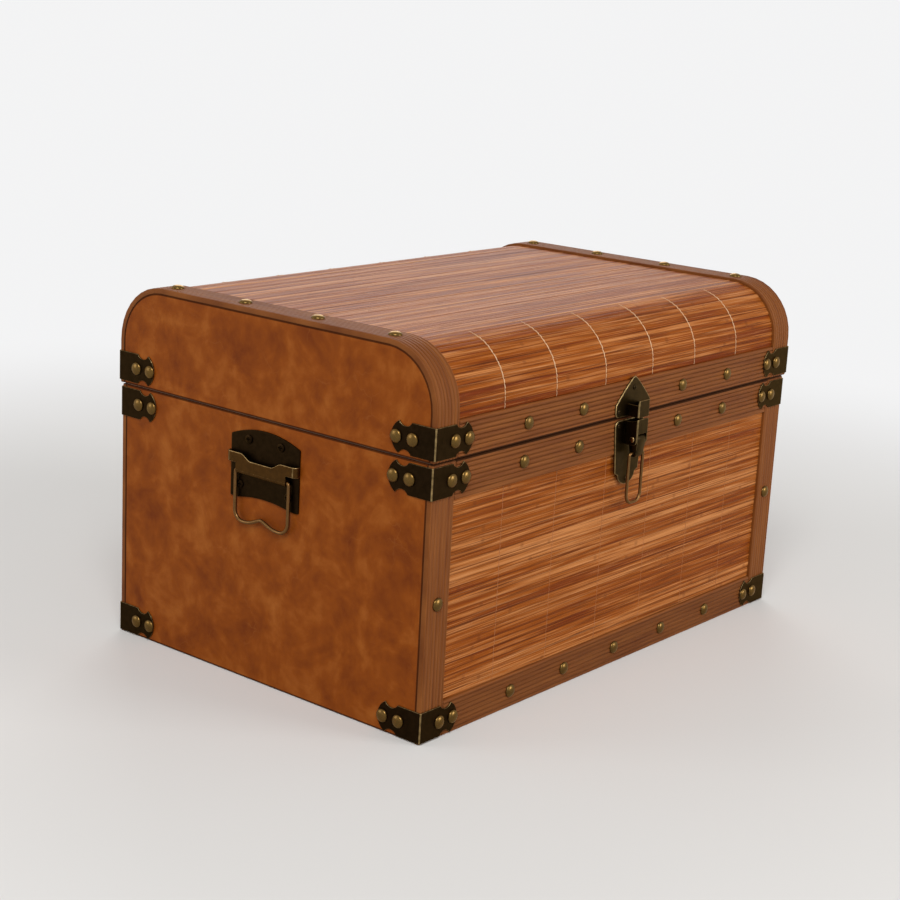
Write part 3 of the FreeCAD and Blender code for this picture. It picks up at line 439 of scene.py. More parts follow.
def ramped(tree, share, *stops):
    """Socket of a colour ramp over stops of position and colour."""
    return node(tree, "ShaderNodeValToRGB", {"Fac": share}, stops=stops).outputs[0]


def noise(tree, place, size, detail, **more):
    """Socket of a noise whose features are about size millimetres long."""
    sockets = {"Vector": place, "Scale": per_mm(size)[0], "Detail": detail, **more}
    return node(tree, "ShaderNodeTexNoise", sockets).outputs["Fac"]


def stretched(tree, place, *lengths, **more):
    """Socket of places scaled so that a noise of one metre has features of these lengths in millimetres."""
    return node(tree, "ShaderNodeMapping", {"Vector": place, "Scale": per_mm(*lengths), **more}).outputs[0]


def shifted(tree, value, reach, place):
    """Socket of places moved by reach times a value."""
    return node(tree, "ShaderNodeVectorMath", {0: value, 1: reach, 2: place}, operation="MULTIPLY_ADD").outputs[0]


def stored(tree, name):
    """Socket of a mark that the mesh holds."""
    return node(tree, "ShaderNodeAttribute", attribute_name=name).outputs["Fac"]


def unwrapped(tree):
    """Socket of the mesh's own texture coordinates."""
    return node(tree, "ShaderNodeUVMap", uv_map="UVMap").outputs["UV"]


def on_object(tree):
    """Socket of places on the object."""
    return node(tree, "ShaderNodeTexCoord").outputs["Object"]


def darker(colour, share):
    """The colour with its light brought down to a share."""
    return tuple(part * share for part in tuple(colour)[:3]) + (1.0,)


def bamboo_material(colours):
    """Split bamboo, dyed and varnished: fine streaky fibres, dark hairlines, faint joints, a satin gloss."""
    material, tree, shader = material_tree("varnished_bamboo", Specular_IOR_Level=0.05)
    slat_shift, joint_spacing, joint_shift, joint_share = (3.7, 0.0, 9.1), 260, 53.0, 0.012
    uv, tone, dip = unwrapped(tree), stored(tree, "tone"), stored(tree, "dip")
    moved = shifted(tree, tone, slat_shift, uv)
    layers = {}
    for name, length, width, detail, shift in (("fibre", 75, 0.8, 4.0, 0.0), ("streak", 240, 2.2, 4.0, 0.0),
                                               ("hair", 110, 0.9, 3.0, 7.0), ("cloud", 150, 9, 2.0, 3.0)):
        place = stretched(tree, moved, length, width, METRE, Location=(shift, shift, 0.0))
        layers[name] = noise(tree, place, METRE, detail, Roughness=0.6)
    share = weighted(tree, tone, 0.75, -2.08)
    for name, weight in (("fibre", 1.6), ("streak", 1.5), ("cloud", 1.3)):
        share = weighted(tree, layers[name], weight, share)
    colour = ramped(tree, share, (0.0, colours.bamboo_dark), (0.45, colours.bamboo_base), (1.0, colours.bamboo_light))
    hair = ranged(tree, layers["hair"], 0.35, 0.45, 0.85, 0.0)
    colour = blend(tree, hair, colour, linear("#4E1E04"))
    pale = ranged(tree, layers["fibre"], 0.56, 0.68, 0.0, 0.45)
    colour = blend(tree, pale, colour, linear("#C28A5C"))
    along = node(tree, "ShaderNodeSeparateXYZ", {0: uv}).outputs[0]
    station = weighted(tree, tone, joint_shift, calc(tree, "MULTIPLY", along, per_mm(joint_spacing)[0]))
    joint = node(tree, "ShaderNodeTexVoronoi", {"W": station, "Scale": 1.0}, voronoi_dimensions="1D")
    reach = calc(tree, "POWER", calc(tree, "MULTIPLY", joint.outputs["Distance"], 1 / joint_share), 2.0)
    lens = ranged(tree, calc(tree, "ADD", reach, calc(tree, "SQRT", dip)), 0.2, 1.0, 0.35, 0.0)
    colour = blend(tree, lens, colour, linear("#5A2A10"))
    # painted shade in the grooves between the slats
    shade = calc(tree, "MULTIPLY", ranged(tree, layers["streak"], 0.38, 0.6, 0.8, 0.1), dip)
    colour = blend(tree, shade, colour, linear("#431A05"))
    rough = ranged(tree, layers["fibre"], 0.0, 1.0, 0.34, 0.58)
    finish_material(tree, shader, colour, rough, layers["fibre"], 0.35)
    return material


def leather_material(colours):
    """Mottled leatherette, a PVC skin pressed with a fine grain: soft clouds of tan, faint pale creases, painted shade
    on its turned edges.
    """
    material, tree, shader = material_tree("mottled_leatherette", Specular_IOR_Level=0.07)
    place = on_object(tree)
    cloud = noise(tree, place, 42, 6.0, Roughness=0.62, Distortion=0.5)
    blot = noise(tree, place, 13, 4.0)
    share = weighted(tree, cloud, 1.05, weighted(tree, blot, 0.45, -0.25))
    colour = ramped(tree, share, (0.25, colours.leather_dark), (0.52, colours.leather_base),
                    (0.8, colours.leather_light))
    bend = node(tree, "ShaderNodeTexNoise", {"Vector": place, "Scale": per_mm(9)[0], "Detail": 2.0}).outputs["Color"]
    bent = shifted(tree, bend, (0.012, 0.012, 0.012), place)
    fold = node(tree, "ShaderNodeTexVoronoi", {"Vector": bent, "Scale": per_mm(26)[0]},
                feature="DISTANCE_TO_EDGE").outputs["Distance"]
    patch = ranged(tree, noise(tree, place, 31, 1.0), 0.52, 0.68, 0.0, 0.12)
    crease = calc(tree, "MULTIPLY", ranged(tree, fold, 0.004, 0.02, 1.0, 0.0), patch)
    colour = blend(tree, crease, colour, linear("#A86A38"))
    # painted shade: the leatherette's turned edges darkened, which paints the shadow of the seam
    edge = ranged(tree, stored(tree, "edge"), 0.4, 0.6, 0.0, 0.8)
    colour = blend(tree, edge, colour, linear("#2A1106"))
    grain = node(tree, "ShaderNodeTexVoronoi", {"Vector": place, "Scale": per_mm(1.5)[0]}).outputs["Distance"]
    rough = calc(tree, "MULTIPLY_ADD", edge, 0.5, ranged(tree, cloud, 0.0, 1.0, 0.56, 0.42), clamp=True)
    finish_material(tree, shader, colour, rough, weighted(tree, grain, -0.35, crease), 0.12)
    return material


def trim_material(colours):
    """Stained softwood planed into reeds: streaks of grain along the length, grooves stained and with painted shade,
    painted shade at the joints and along the seam, painted highlights on the rounded edges."""
    material, tree, shader = material_tree("stained_reeded_wood", Specular_IOR_Level=0.1)
    uv, groove = unwrapped(tree), stored(tree, "groove")
    grain = noise(tree, stretched(tree, uv, 45, 0.9, METRE), METRE, 5.0, Roughness=0.6)
    cloud = noise(tree, stretched(tree, uv, 90, 6, METRE), METRE, 2.0)
    share = weighted(tree, grain, 1.0, weighted(tree, cloud, 0.7, -0.35))
    colour = ramped(tree, share, (0.2, colours.trim_dark), (0.8, colours.trim_light))
    # painted highlight: the rounded edges of the trim turned pale
    edge_highlight = ranged(tree, groove, -1.0, -0.2, 0.8, 0.0)
    colour = blend(tree, edge_highlight, colour, linear("#B8804E"))
    # grooves stained and with painted shade; painted shade at the joints, cut ends and seam
    shade = calc(tree, "MULTIPLY", groove, 0.9, clamp=True)
    colour = blend(tree, shade, colour, linear("#1A0B04"))
    rough = calc(tree, "MULTIPLY_ADD", shade, 0.5, ranged(tree, grain, 0.0, 1.0, 0.45, 0.62), clamp=True)
    finish_material(tree, shader, colour, rough, grain, 0.12)
    return material


def metal_material(name, base, worn, roughness, wear_from, wear_to, patina, lacquer):
    """Aged metal: small clouds of patina in the base colour, rubbed where the edge mark is high, under lacquer."""
    material, tree, shader = material_tree(name, Metallic=1.0, Specular_Tint=linear("#FFE6C8"), Coat_Weight=lacquer,
                                           Coat_Roughness=0.14)
    place = on_object(tree)
    cloud = noise(tree, place, 5, 5.0, Roughness=0.65)
    aged = ramped(tree, cloud, (0.35, darker(base, patina)), (0.62, tuple(base)))
    rubbed = ranged(tree, weighted(tree, cloud, 0.7, stored(tree, "edge")), wear_from, wear_to, 0.0, 1.0)
    colour = blend(tree, rubbed, aged, tuple(worn))
    rough = ranged(tree, cloud, 0.0, 1.0, roughness + 0.1, roughness - 0.08)
    finish_material(tree, shader, colour, rough, noise(tree, place, 0.8, 2.0), 0.03)
    return material


def thread_material(name, pale, dark):
    """Two-ply cotton thread: matt, with its twist as fine slanting stripes."""
    material, tree, shader = material_tree(name, Roughness=0.85)
    twist = stretched(tree, unwrapped(tree), 0.8, 0.8, METRE, Rotation=(0.0, 0.0, 0.7))
    wave = node(tree, "ShaderNodeTexWave", {"Vector": twist, "Scale": 0.5}).outputs["Fac"]
    colour = blend(tree, ranged(tree, wave, 0.0, 1.0, 0.35, 0.0), tuple(pale), tuple(dark))
    finish_material(tree, shader, colour, None, wave, 0.08)
    return material


def board_material(colours):
    """Plywood, sanded and raw: pale grain along the board with thin dark pores."""
    material, tree, shader = material_tree("raw_plywood", Roughness=0.75)
    grain = noise(tree, stretched(tree, on_object(tree), 60, 60, 2.5), METRE, 5.0)
    colour = ramped(tree, grain, (0.3, linear("#3E2613")), (0.7, tuple(colours.board)))
    finish_material(tree, shader, colour, None, grain, 0.1)
    return material


def lining_material(colours):
    """Plain woven cotton glued to the boards: crossing threads a weave apart, matt with a soft sheen."""
    material, tree, shader = material_tree("cotton_lining", Roughness=0.9, Sheen_Weight=0.2)
    weave = 0.9
    place = on_object(tree)
    parts = node(tree, "ShaderNodeSeparateXYZ", {0: place}).outputs
    waves = [calc(tree, "SINE", calc(tree, "MULTIPLY", part, 2 * math.pi / (weave * MM))) for part in parts]
    level = calc(tree, "ADD", calc(tree, "ADD", waves[X], waves[Y]), waves[Z])
    share = weighted(tree, level, 0.08, noise(tree, place, 18, 3.0))
    colour = ramped(tree, share, (0.25, darker(colours.lining, 0.6)), (0.75, tuple(colours.lining)))
    finish_material(tree, shader, colour, None, level, 0.08)
    return material


def finish(key):
    """The trunk's material of that key, made when it is first asked for."""
    colours = bpy.context.scene.trunk_colours
    dark_brass, wire = linear("#2E2410"), linear("#6E4E2A")
    makers = {
        "varnished_bamboo": lambda: bamboo_material(colours),
        "mottled_leatherette": lambda: leather_material(colours),
        "stained_reeded_wood": lambda: trim_material(colours),
        "pale_thread": lambda: thread_material("pale_thread", colours.thread, colours.worn_thread),
        "dull_thread": lambda: thread_material("dull_thread", colours.worn_thread, colours.bamboo_base),
        "raw_plywood": lambda: board_material(colours),
        "cotton_lining": lambda: lining_material(colours),
        "aged_iron": lambda: metal_material("aged_iron", colours.iron, colours.worn, 0.4, 1.15, 1.6, 0.6, 0.0),
        "aged_latch": lambda: metal_material("aged_latch", colours.latch, colours.worn, 0.38, 1.12, 1.6, 0.55, 0.04),
        "aged_brass": lambda: metal_material("aged_brass", colours.brass, dark_brass, 0.27, 1.25, 1.65, 0.8, 0.18),
        "aged_bronze": lambda: metal_material("aged_bronze", colours.bronze, colours.worn, 0.38, 1.0, 1.4, 0.7, 0.04),
        "aged_wire": lambda: metal_material("aged_wire", wire, colours.worn, 0.32, 1.05, 1.5, 0.75, 0.12),
    }
    return bpy.data.materials.get(key) or makers[key]()


def paint(key, *nodes):
    """Gives CAD nodes a finish."""
    for name in nodes:
        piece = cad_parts[name]
        piece.data.materials.clear()
        piece.data.materials.append(finish(key))


# Shapes of the trunk

def over_lid(along, out, start):
    """Points (y, z) over the lid: up the front from height start, round its edge, over the top and down the back."""
    rise = ARC_Z - start
    quarter = LID_RADIUS * np.pi / 2
    length = 2 * (rise + quarter + ARC_Y)
    side = np.where(along > length / 2, 1.0, -1.0)
    reach = np.minimum(along, length - along)
    angle = np.clip((reach - rise) / LID_RADIUS, 0.0, np.pi / 2)
    below = np.minimum(reach - rise, 0.0)
    beyond = np.maximum(reach - rise - quarter, 0.0)
    y = side * (ARC_Y - beyond + (LID_RADIUS + out) * np.cos(angle))
    z = ARC_Z + below + (LID_RADIUS + out) * np.sin(angle)
    return y, z


def lid_length(start):
    """Distance over the lid between two points at height start on its front and back."""
    return 2 * (ARC_Z - start + LID_RADIUS * np.pi / 2 + ARC_Y)


def lid_outline(out, foot, over_count, sole_count):
    """Closed outline (y, z) of the lid's section at a distance out from its shell: over the lid, then its sole."""
    over = np.stack(over_lid(np.linspace(0, lid_length(foot), over_count), out, foot), axis=-1)
    sole = np.linspace(over[-1, 0], over[0, 0], sole_count)[1:-1]
    return np.concatenate([over, np.stack([sole, np.full(len(sole), foot)], axis=-1)])


def slat_rows(length, half_width, seed, sizes):
    """Rows of a mat: across a slat the height is crown - (crown - valley) * |2s - 1| ** 4, and its edges wander as
    sines."""
    draw = np.random.default_rng(seed)
    shift, sway, lost_crown, columns, cuts = 0.2, 0.07, 0.35, 57, 6
    count = round(length / (sizes.slat_width / MM))
    pitch = length / count
    line = pitch * np.arange(count + 1.0)
    line[1:-1] += pitch * draw.uniform(-shift, shift, count - 1)
    x = np.linspace(-half_width, half_width, columns)
    phase = draw.uniform(0, 2 * np.pi, count + 1)[:, None]
    turns = draw.uniform(0.6, 2.2, count + 1)[:, None]
    wander = sway * pitch * np.sin(phase + turns * np.pi * x / half_width)
    wander[[0, -1]] = 0.0
    edges = line[:, None] + wander
    share = (1 - np.cos(np.linspace(0, np.pi, cuts + 1))) / 2
    dip = np.abs(2 * share - 1) ** 4
    along = edges[:-1, None, :] * (1 - share)[:, None] + edges[1:, None, :] * share[:, None]
    crown = sizes.slat_crown / MM - draw.uniform(0, lost_crown, count)
    valley = sizes.slat_valley / MM
    height = crown[:, None] - (crown[:, None] - valley) * dip
    tone = np.clip(draw.normal(0.5, 0.2, count), 0.0, 1.0)
    along = np.concatenate([along[:, :cuts].reshape(-1, len(x)), edges[-1:]])
    height = np.concatenate([height[:, :cuts].reshape(-1), [valley]])
    dips = np.concatenate([np.tile(dip[:cuts], count), [1.0]])
    return x, along, height, dips, np.repeat(tone, cuts)


def mat(rows, place):
    """Mat of slats whose rows are put on the trunk by place(along, out), closed by its ends and its back."""
    x, along, height, dips, tone = rows
    count, columns = along.shape

    def points(distance, out, xs):
        y, z = place(distance, out)
        return np.stack([np.broadcast_to(xs, distance.shape), y, z], axis=-1)

    front = points(along, np.broadcast_to(height[:, None], along.shape), x)
    ends = along[:, [0, -1]]
    back = points(ends, np.zeros_like(ends), x[[0, -1]])
    surface = lattice(front, uv=np.stack([np.broadcast_to(x, along.shape), along], axis=-1), dip=dips[:, None])
    face_tone = np.repeat(tone, columns - 1)
    first = count * columns
    row = np.arange(count - 1)
    left, right = first + 2 * row, first + 2 * row + 1
    near, far = row * columns, row * columns + columns - 1
    sides = np.concatenate([np.stack([left, left + 2, right + 2, right], axis=-1),
                            np.stack([near, near + columns, left + 2, left], axis=-1),
                            np.stack([far, right, right + 2, far + columns], axis=-1)])
    last = (count - 1) * columns
    low_edge = list(range(columns)) + [first + 1, first]
    high_edge = list(range(last, last + columns)) + [first + 2 * count - 1, first + 2 * count - 2]
    surface["faces"] += sides.tolist() + [low_edge, high_edge]
    surface["points"] = np.concatenate([surface["points"], back.reshape(-1, 3)])
    surface["uv"] = np.concatenate([surface["uv"], np.zeros((2 * count, 2))])
    surface["marks"]["dip"] = np.concatenate([surface["marks"]["dip"], np.ones(2 * count)])
    surface["face_marks"] = {"tone": np.concatenate([face_tone, np.full(len(sides) + 2, 0.5)])}
    return surface


def threads(rows, place, stations, radius, lift):
    """Threads over the slats: each lies lift over a crown and dives between two slats."""
    x, along, height, dips, _ = rows
    dive = 1.6
    made = []
    for station in stations:
        column = int(np.argmin(np.abs(x - station)))
        y, z = place(along[:, column], height + lift - (lift + dive * np.max(radius)) * dips ** 2)
        path = np.stack([np.full(len(y), float(station)), y, z], axis=-1)
        made.append(tube(path, radius, (1, 0, 0), 6))
    return made


# Painted shade on the trim's sides: a little on plain ones, and a full painted shadow on those along the seam of body
# and lid
PLAIN, SEAM = 0.1, 1.0


def reeded_profile(width, sizes, sides, relief):
    """Section of the trim: six round reeds, out = thickness - depth * (1 - sin(pi s)) ** 2, between flat margins. Its
    mark darkens the stained grooves with painted shade; it is 1 where shade is painted at the joints, up to 1 where
    the seam's shadow is painted, and below 0 where highlights are painted on the rounded edges."""
    thickness = sizes.trim_thickness / MM
    pitch = sizes.reed_pitch / MM
    depth = relief * sizes.reed_depth / MM
    reeds, cuts = 6, 10
    # grooves stained and with painted shade; seam sides get a painted shadow on their rounded edges
    groove_stain, seam_shadow, largest_edge, joint_height = 0.34 * relief, 0.9, 1.3, 0.7
    margin = (width - reeds * pitch) / 2
    share = np.linspace(0, 1, cuts, endpoint=False)
    sunk = np.tile((1 - np.sin(np.pi * share)) ** 2, reeds)
    across = margin + pitch * (np.repeat(np.arange(reeds), cuts) + np.tile(share, reeds))
    lip = 0.55 * pitch / 2
    edge = min(largest_edge, 0.7 * (margin - lip))
    rounds = arc((0, 0), edge, 180, 90, 7) + [edge, thickness - edge]
    start = np.concatenate([[[0, 0], [0, joint_height]], rounds, [[1.3 * edge, thickness], [margin - lip, thickness]]])
    middle = np.stack([across, thickness - depth * sunk], axis=-1)
    middle = np.concatenate([middle, [[width - margin, thickness - depth]]])
    profile = np.concatenate([start, middle, start[::-1] * [-1, 1] + [width, 0]])
    # painted highlight on the rounded edges of plain sides, as a mark below 0
    edge_highlight = -np.sin(np.linspace(0, np.pi, len(rounds)))
    # painted shadow on the rounded edges of seam sides; painted shade in the joint at the back corner
    low, high = [np.concatenate([[1.0, side], np.full(len(rounds), seam_shadow) if side == SEAM else edge_highlight, [0.0, 0.0]])
                 for side in sides]
    mark = np.concatenate([low, groove_stain * sunk, [groove_stain], high[::-1]])
    return profile, mark


def reeded(path, across, outward, width, sizes, sides=(PLAIN, PLAIN), relief=1.0, darkening=0.0):
    """The trim's section carried along a path: path + across * a + outward * o, chamfered and with painted shade at its
    cut ends. A darkening share darkens all of it but its painted edge highlights."""
    profile, mark = reeded_profile(width, sizes, sides, relief)
    # darkening draws the whole piece darker, all but its painted highlights
    mark = np.where(mark < 0, mark, mark + darkening * (1 - mark))
    a, o = profile[:, 0, None], profile[:, 1, None]
    chamfer, grain_shift = 1.2, 37.0
    near = chamfer / np.linalg.norm(path[[1, -2]] - path[[0, -1]], axis=1)
    stations = np.insert(np.arange(len(path), dtype=float), [1, len(path) - 1], [near[0], len(path) - 1 - near[1]])
    order = np.arange(len(path))
    path = np.stack([np.interp(stations, order, path[:, axis]) for axis in (X, Y, Z)], axis=-1)
    outward = np.stack([np.interp(stations, order, outward[:, axis]) for axis in (X, Y, Z)], axis=-1)
    # the cut ends: chamfered, and marked 1 for painted shade where the trim butts on its neighbours
    cut = np.zeros((len(path), 1, 1))
    cut[[0, -1]] = 1.0
    ground = np.minimum(o, (sizes.trim_thickness - sizes.reed_depth) / MM)
    out = o + cut * (ground - o)
    points = path[:, None, :] + a * np.array(across, dtype=float) + out * outward[:, None, :]
    run = np.broadcast_to(travelled(path)[:, None], points.shape[:2])
    uv = np.stack([run + grain_shift * path[0].sum(), np.broadcast_to(profile[:, 0], run.shape)], axis=-1)
    return capped(lattice(points, close_columns=True, uv=uv, groove=np.maximum(mark, cut[..., 0])))


# Operators

class TRUNK_OT_boards(bpy.types.Operator):
    """Raw plywood on the boards"""
    bl_idname = "trunk.boards"
    bl_label = "Boards"

    def execute(self, context):
        paint("raw_plywood", "bottom_panel", "front_panel", "back_panel", "left_end_board", "right_end_board",
              "lid_left_end_board", "lid_right_end_board", "lid_shell")
        return {"FINISHED"}


class TRUNK_OT_lining(bpy.types.Operator):
    """Cotton lining of the body and the lid"""
    bl_idname = "trunk.lining"
    bl_label = "Lining"

    def execute(self, context):
        cloth = finish("cotton_lining")
        sheet, corner, spacing, hem_edge = 1.0, 3.0, 12.0, 0.3
        half_x, half_y = span("body_wall_lining", X)[1], span("body_wall_lining", Y)[1]
        foot, top = span("body_wall_lining", Z)
        floor_foot = span("body_floor_lining", Z)[0]
        turns = [arc((sx * (half_x - corner), sy * (half_y - corner)), corner, start, start + 90, 7)
                 for sx, sy, start in ((1, 1, 0), (-1, 1, 90), (-1, -1, 180), (1, -1, 270))]
        round_wall = resampled(np.concatenate(turns), spacing)
        inward = inwards(round_wall)
        hem = arc((0.5 * sheet, top - 0.5 * sheet), 0.5 * sheet, 180, 0, 7)
        section = np.concatenate([[[0.0, foot]], hem, [[sheet, foot]]])
        flat = round_wall[:, None, :] + inward[:, None, :] * section[None, :, :1]
        height = np.broadcast_to(section[:, 1:], flat.shape[:2] + (1,))
        walls = lattice(np.concatenate([flat, height], axis=2), close_rows=True, close_columns=True)
        make("wall_cloth", [walls], cloth, "trunk_body", ["body_wall_lining"])
        rim = resampled([[-half_x, -half_y], [half_x, -half_y], [half_x, half_y], [-half_x, half_y]], spacing)
        make("floor_cloth", [plate(rim, Z, floor_foot, foot - floor_foot, hem_edge, 2)], cloth, "trunk_body",
             ["body_floor_lining"])
        lid_x, lid_foot = span("lid_lining", X)[1], span("lid_lining", Z)[0]
        outside = span("lid_lining", Z)[1] - LID_TOP_Z
        over_count, sole_count = 96, 40
        outline = lid_outline(outside - sheet, lid_foot, over_count, sole_count)
        under = outline[:over_count]
        above = lid_outline(outside, lid_foot, over_count, sole_count)[:over_count]
        x = np.linspace(-lid_x, lid_x, 24)
        rows = [in_plane(line, X, value) for line, values in ((under, x), (above, x[::-1])) for value in values]
        roof = capped(lattice(np.stack(rows, axis=1), close_columns=True))
        end = plate(outline, X, lid_x, -sheet, hem_edge, 2)
        plain = [{**surface, "marks": {}} for surface in (roof, end, mirrored(end, X))]
        make("lid_cloth", plain, cloth, "lid", ["lid_lining"])
        return {"FINISHED"}


class TRUNK_OT_bamboo(bpy.types.Operator):
    """Bamboo mats on the front, the back and the lid, with their threads"""
    bl_idname = "trunk.bamboo"
    bl_label = "Bamboo mats"

    def execute(self, context):
        sizes = context.scene.trunk_sizes
        bamboo = finish("varnished_bamboo")
        pale, dull = finish("pale_thread"), finish("dull_thread")
        low, high = span("front_bamboo_mat", Z)
        wall_seams, lid_seams = (-161, -93, -25, 40, 106, 167), (-168, -103, -37, 30, 94, 161)
        for name, side, seed in (("front", -1.0, 11), ("back", 1.0, 12)):
            rows = slat_rows(high - low, POST_X, seed, sizes)

            def on_wall(along, out, side=side):
                return side * (WALL_Y + out), low + along

            make(name + "_mat", [mat(rows, on_wall)], bamboo, "trunk_body", [name + "_bamboo_mat"])
            sewn = threads(rows, on_wall, wall_seams, sizes.body_thread / MM, 0.12)
            make(name + "_mat_threads", sewn, dull, "trunk_body")
        foot = span("lid_bamboo_mat", Z)[0]
        rows = slat_rows(lid_length(foot), BAND_X, 13, sizes)

        def on_lid(along, out):
            return over_lid(along, out, foot)

        make("lid_mat", [mat(rows, on_lid)], bamboo, "lid", ["lid_bamboo_mat"])
        fade, foot_end, top_start, lift, sink = 22.0, 4.0, 58.0, 0.15, 0.6
        reach = np.minimum(rows[1][:, 0], lid_length(foot) - rows[1][:, 0])
        flat = smooth((reach - top_start) / fade)
        fullness = 0.5 + 0.5 * smooth((reach - foot_end) / fade) - sink * flat
        sewn = threads(rows, on_lid, lid_seams, sizes.lid_thread / MM * fullness, lift - sink * flat)
        make("lid_mat_threads", sewn, pale, "lid")
        return {"FINISHED"}


class TRUNK_OT_leather(bpy.types.Operator):
    """Leatherette with turned edges on the ends of the body and the lid"""
    bl_idname = "trunk.leather"
    bl_label = "Leatherette ends"

    def execute(self, context):
        sizes = context.scene.trunk_sizes
        leather = finish("mottled_leatherette")
        edge = sizes.leather_edge / MM
        foot, top = span("right_end_leather", Z)
        outline = resampled([[-WALL_Y, foot], [-WALL_Y, top], [WALL_Y, top], [WALL_Y, foot]], 8.0)
        body_end = plate(outline, X, BOARD_X, END_X - BOARD_X, edge, 6)
        lid_end = plate(lid_outline(0.0, LID_FOOT_Z, 110, 42), X, LID_BOARD_X, LID_END_X - LID_BOARD_X, edge, 6)
        for side, axes in (("right", ()), ("left", (X,))):
            make(side + "_end_skin", [mirrored(body_end, *axes)], leather, "trunk_body", [side + "_end_leather"])
            make("lid_" + side + "_skin", [mirrored(lid_end, *axes)], leather, "lid", ["lid_" + side + "_leather"])
        return {"FINISHED"}


class TRUNK_OT_trim(bpy.types.Operator):
    """Reeded posts, rails and lid bands"""
    bl_idname = "trunk.trim"
    bl_label = "Reeded trim"

    def execute(self, context):
        sizes = context.scene.trunk_sizes
        wood = finish("stained_reeded_wood")
        width = END_X - POST_X
        post_relief, band_relief = 0.5, 0.7
        # each rail: name, wall, half length, body, sides, relief, and darkening; the bottom rail is drawn darker
        rails = (("bottom_rail", WALL_Y, POST_X, "trunk_body", (PLAIN, PLAIN), 0.7, 0.18),
                 ("top_rail", WALL_Y, POST_X, "trunk_body", (PLAIN, SEAM), 1.0, 0.0),
                 ("lid_rail", LID_WALL_Y, BAND_X, "lid", (SEAM, PLAIN), 1.0, 0.0))
        for end, end_side in (("left", -1), ("right", 1)):
            for name, side in (("front", -1), ("back", 1)):
                path = np.array([[end_side * END_X, side * WALL_Y, 0.0], [end_side * END_X, side * WALL_Y, RIM_Z]])
                outward = np.array([[0, side, 0]] * 2, dtype=float)
                post = reeded(path, (-end_side, 0, 0), outward, width, sizes, relief=post_relief)
                node_name = name + "_" + end + "_post"
                make(node_name + "_reeds", [post], wood, "trunk_body", [node_name])
            run = np.concatenate([[0.0], np.linspace(ARC_Z - LID_FOOT_Z, lid_length(LID_FOOT_Z) / 2 - 0.001, 26)])
            run = np.concatenate([run, lid_length(LID_FOOT_Z) - run[::-1]])
            inner = np.stack(over_lid(run, 0.0, LID_FOOT_Z), axis=-1)
            outer = np.stack(over_lid(run, 1.0, LID_FOOT_Z), axis=-1)
            column = np.zeros((len(run), 1))
            path = np.concatenate([column + end_side * LID_END_X, inner], axis=1)
            outward = np.concatenate([column, outer - inner], axis=1)
            band = reeded(path, (-end_side, 0, 0), outward, LID_END_X - BAND_X, sizes, relief=band_relief)
            node_name = "lid_" + end + "_band"
            make(node_name + "_reeds", [band], wood, "lid", [node_name])
        for name, side in (("front", -1), ("back", 1)):
            for rail, wall, half, body, sides, relief, darkening in rails:
                node_name = name + "_" + rail
                low, high = span(node_name, Z)
                path = np.array([[-half, side * wall, low], [half, side * wall, low]])
                outward = np.array([[0, side, 0]] * 2, dtype=float)
                strake = reeded(path, (0, 0, 1), outward, high - low, sizes, sides, relief, darkening)
                make(node_name + "_reeds", [strake], wood, body, [node_name])
        return {"FINISHED"}


class TRUNK_OT_brackets(bpy.types.Operator):
    """Folded corner brackets with scalloped arms"""
    bl_idname = "trunk.brackets"
    bl_label = "Corner brackets"

    def execute(self, context):
        iron = finish("aged_iron")
        for name, body in (("bottom_corner_brackets", "trunk_body"), ("rim_corner_brackets", "trunk_body"),
                           ("lid_corner_brackets", "lid")):
            low, high = span(name, Z)
            bracket = self.bracket(span(name, X)[1], span(name, Y)[1], low, high - low)
            make(name + "_folded", four_corners(bracket), iron, body, [name])
        return {"FINISHED"}

    @staticmethod
    def bracket(fold_x, fold_y, foot, height):
        """Sheet bent round a corner: shallow notches run out into pointed corners, and an arc between them ends an
        arm."""
        sheet, bend = 1.0, 1.5
        arm, tail, notch_start, notch_depth = 42.8, 35.5, 23.2, 3.5
        tail_radius = ((height / 2) ** 2 + (arm - tail) ** 2) / (2 * (arm - tail))
        tail_start = math.degrees(math.acos((tail - arm + tail_radius) / tail_radius))
        notch, half = (notch_start + tail) / 2, (tail - notch_start) / 2
        notch_radius = (half ** 2 + notch_depth ** 2) / (2 * notch_depth)
        notch_run = np.linspace(notch_start, tail, 17)
        tail_run = arm - tail_radius + tail_radius * np.cos(np.radians(np.linspace(tail_start, 0, 17)))
        reach = np.concatenate([[bend, 2.4, 4.0, 12.0], notch_run, tail_run[1:]])
        scoop = np.sqrt(np.maximum(notch_radius ** 2 - (reach - notch) ** 2, 0)) - notch_radius + notch_depth
        arch = np.sqrt(np.maximum(tail_radius ** 2 - (reach - arm + tail_radius) ** 2, 0))
        rise = np.where(reach > tail, height / 2 - arch, np.maximum(scoop, 0.0))
        rise[-1] = height / 2
        corner = arc((bend, bend), bend, 180, 270, 9)[2:-2]
        straight = np.stack([reach, np.zeros_like(reach)], axis=-1)
        path = np.concatenate([straight[::-1, ::-1], corner, straight])
        normal = np.concatenate([np.tile([-1.0, 0.0], (len(reach), 1)), (corner - bend) / bend,
                                 np.tile([0.0, -1.0], (len(reach), 1))])
        inset = np.concatenate([rise[::-1], np.zeros(len(corner)), rise])
        distance = np.concatenate([reach[::-1], np.zeros(len(corner)), reach])
        fold = np.where(distance > 0, 0.25, 1.0)
        place = path - sheet * normal + [-fold_x, -fold_y]
        return strip(place, normal, foot + inset, foot + height - inset, sheet, 0.3, fold)


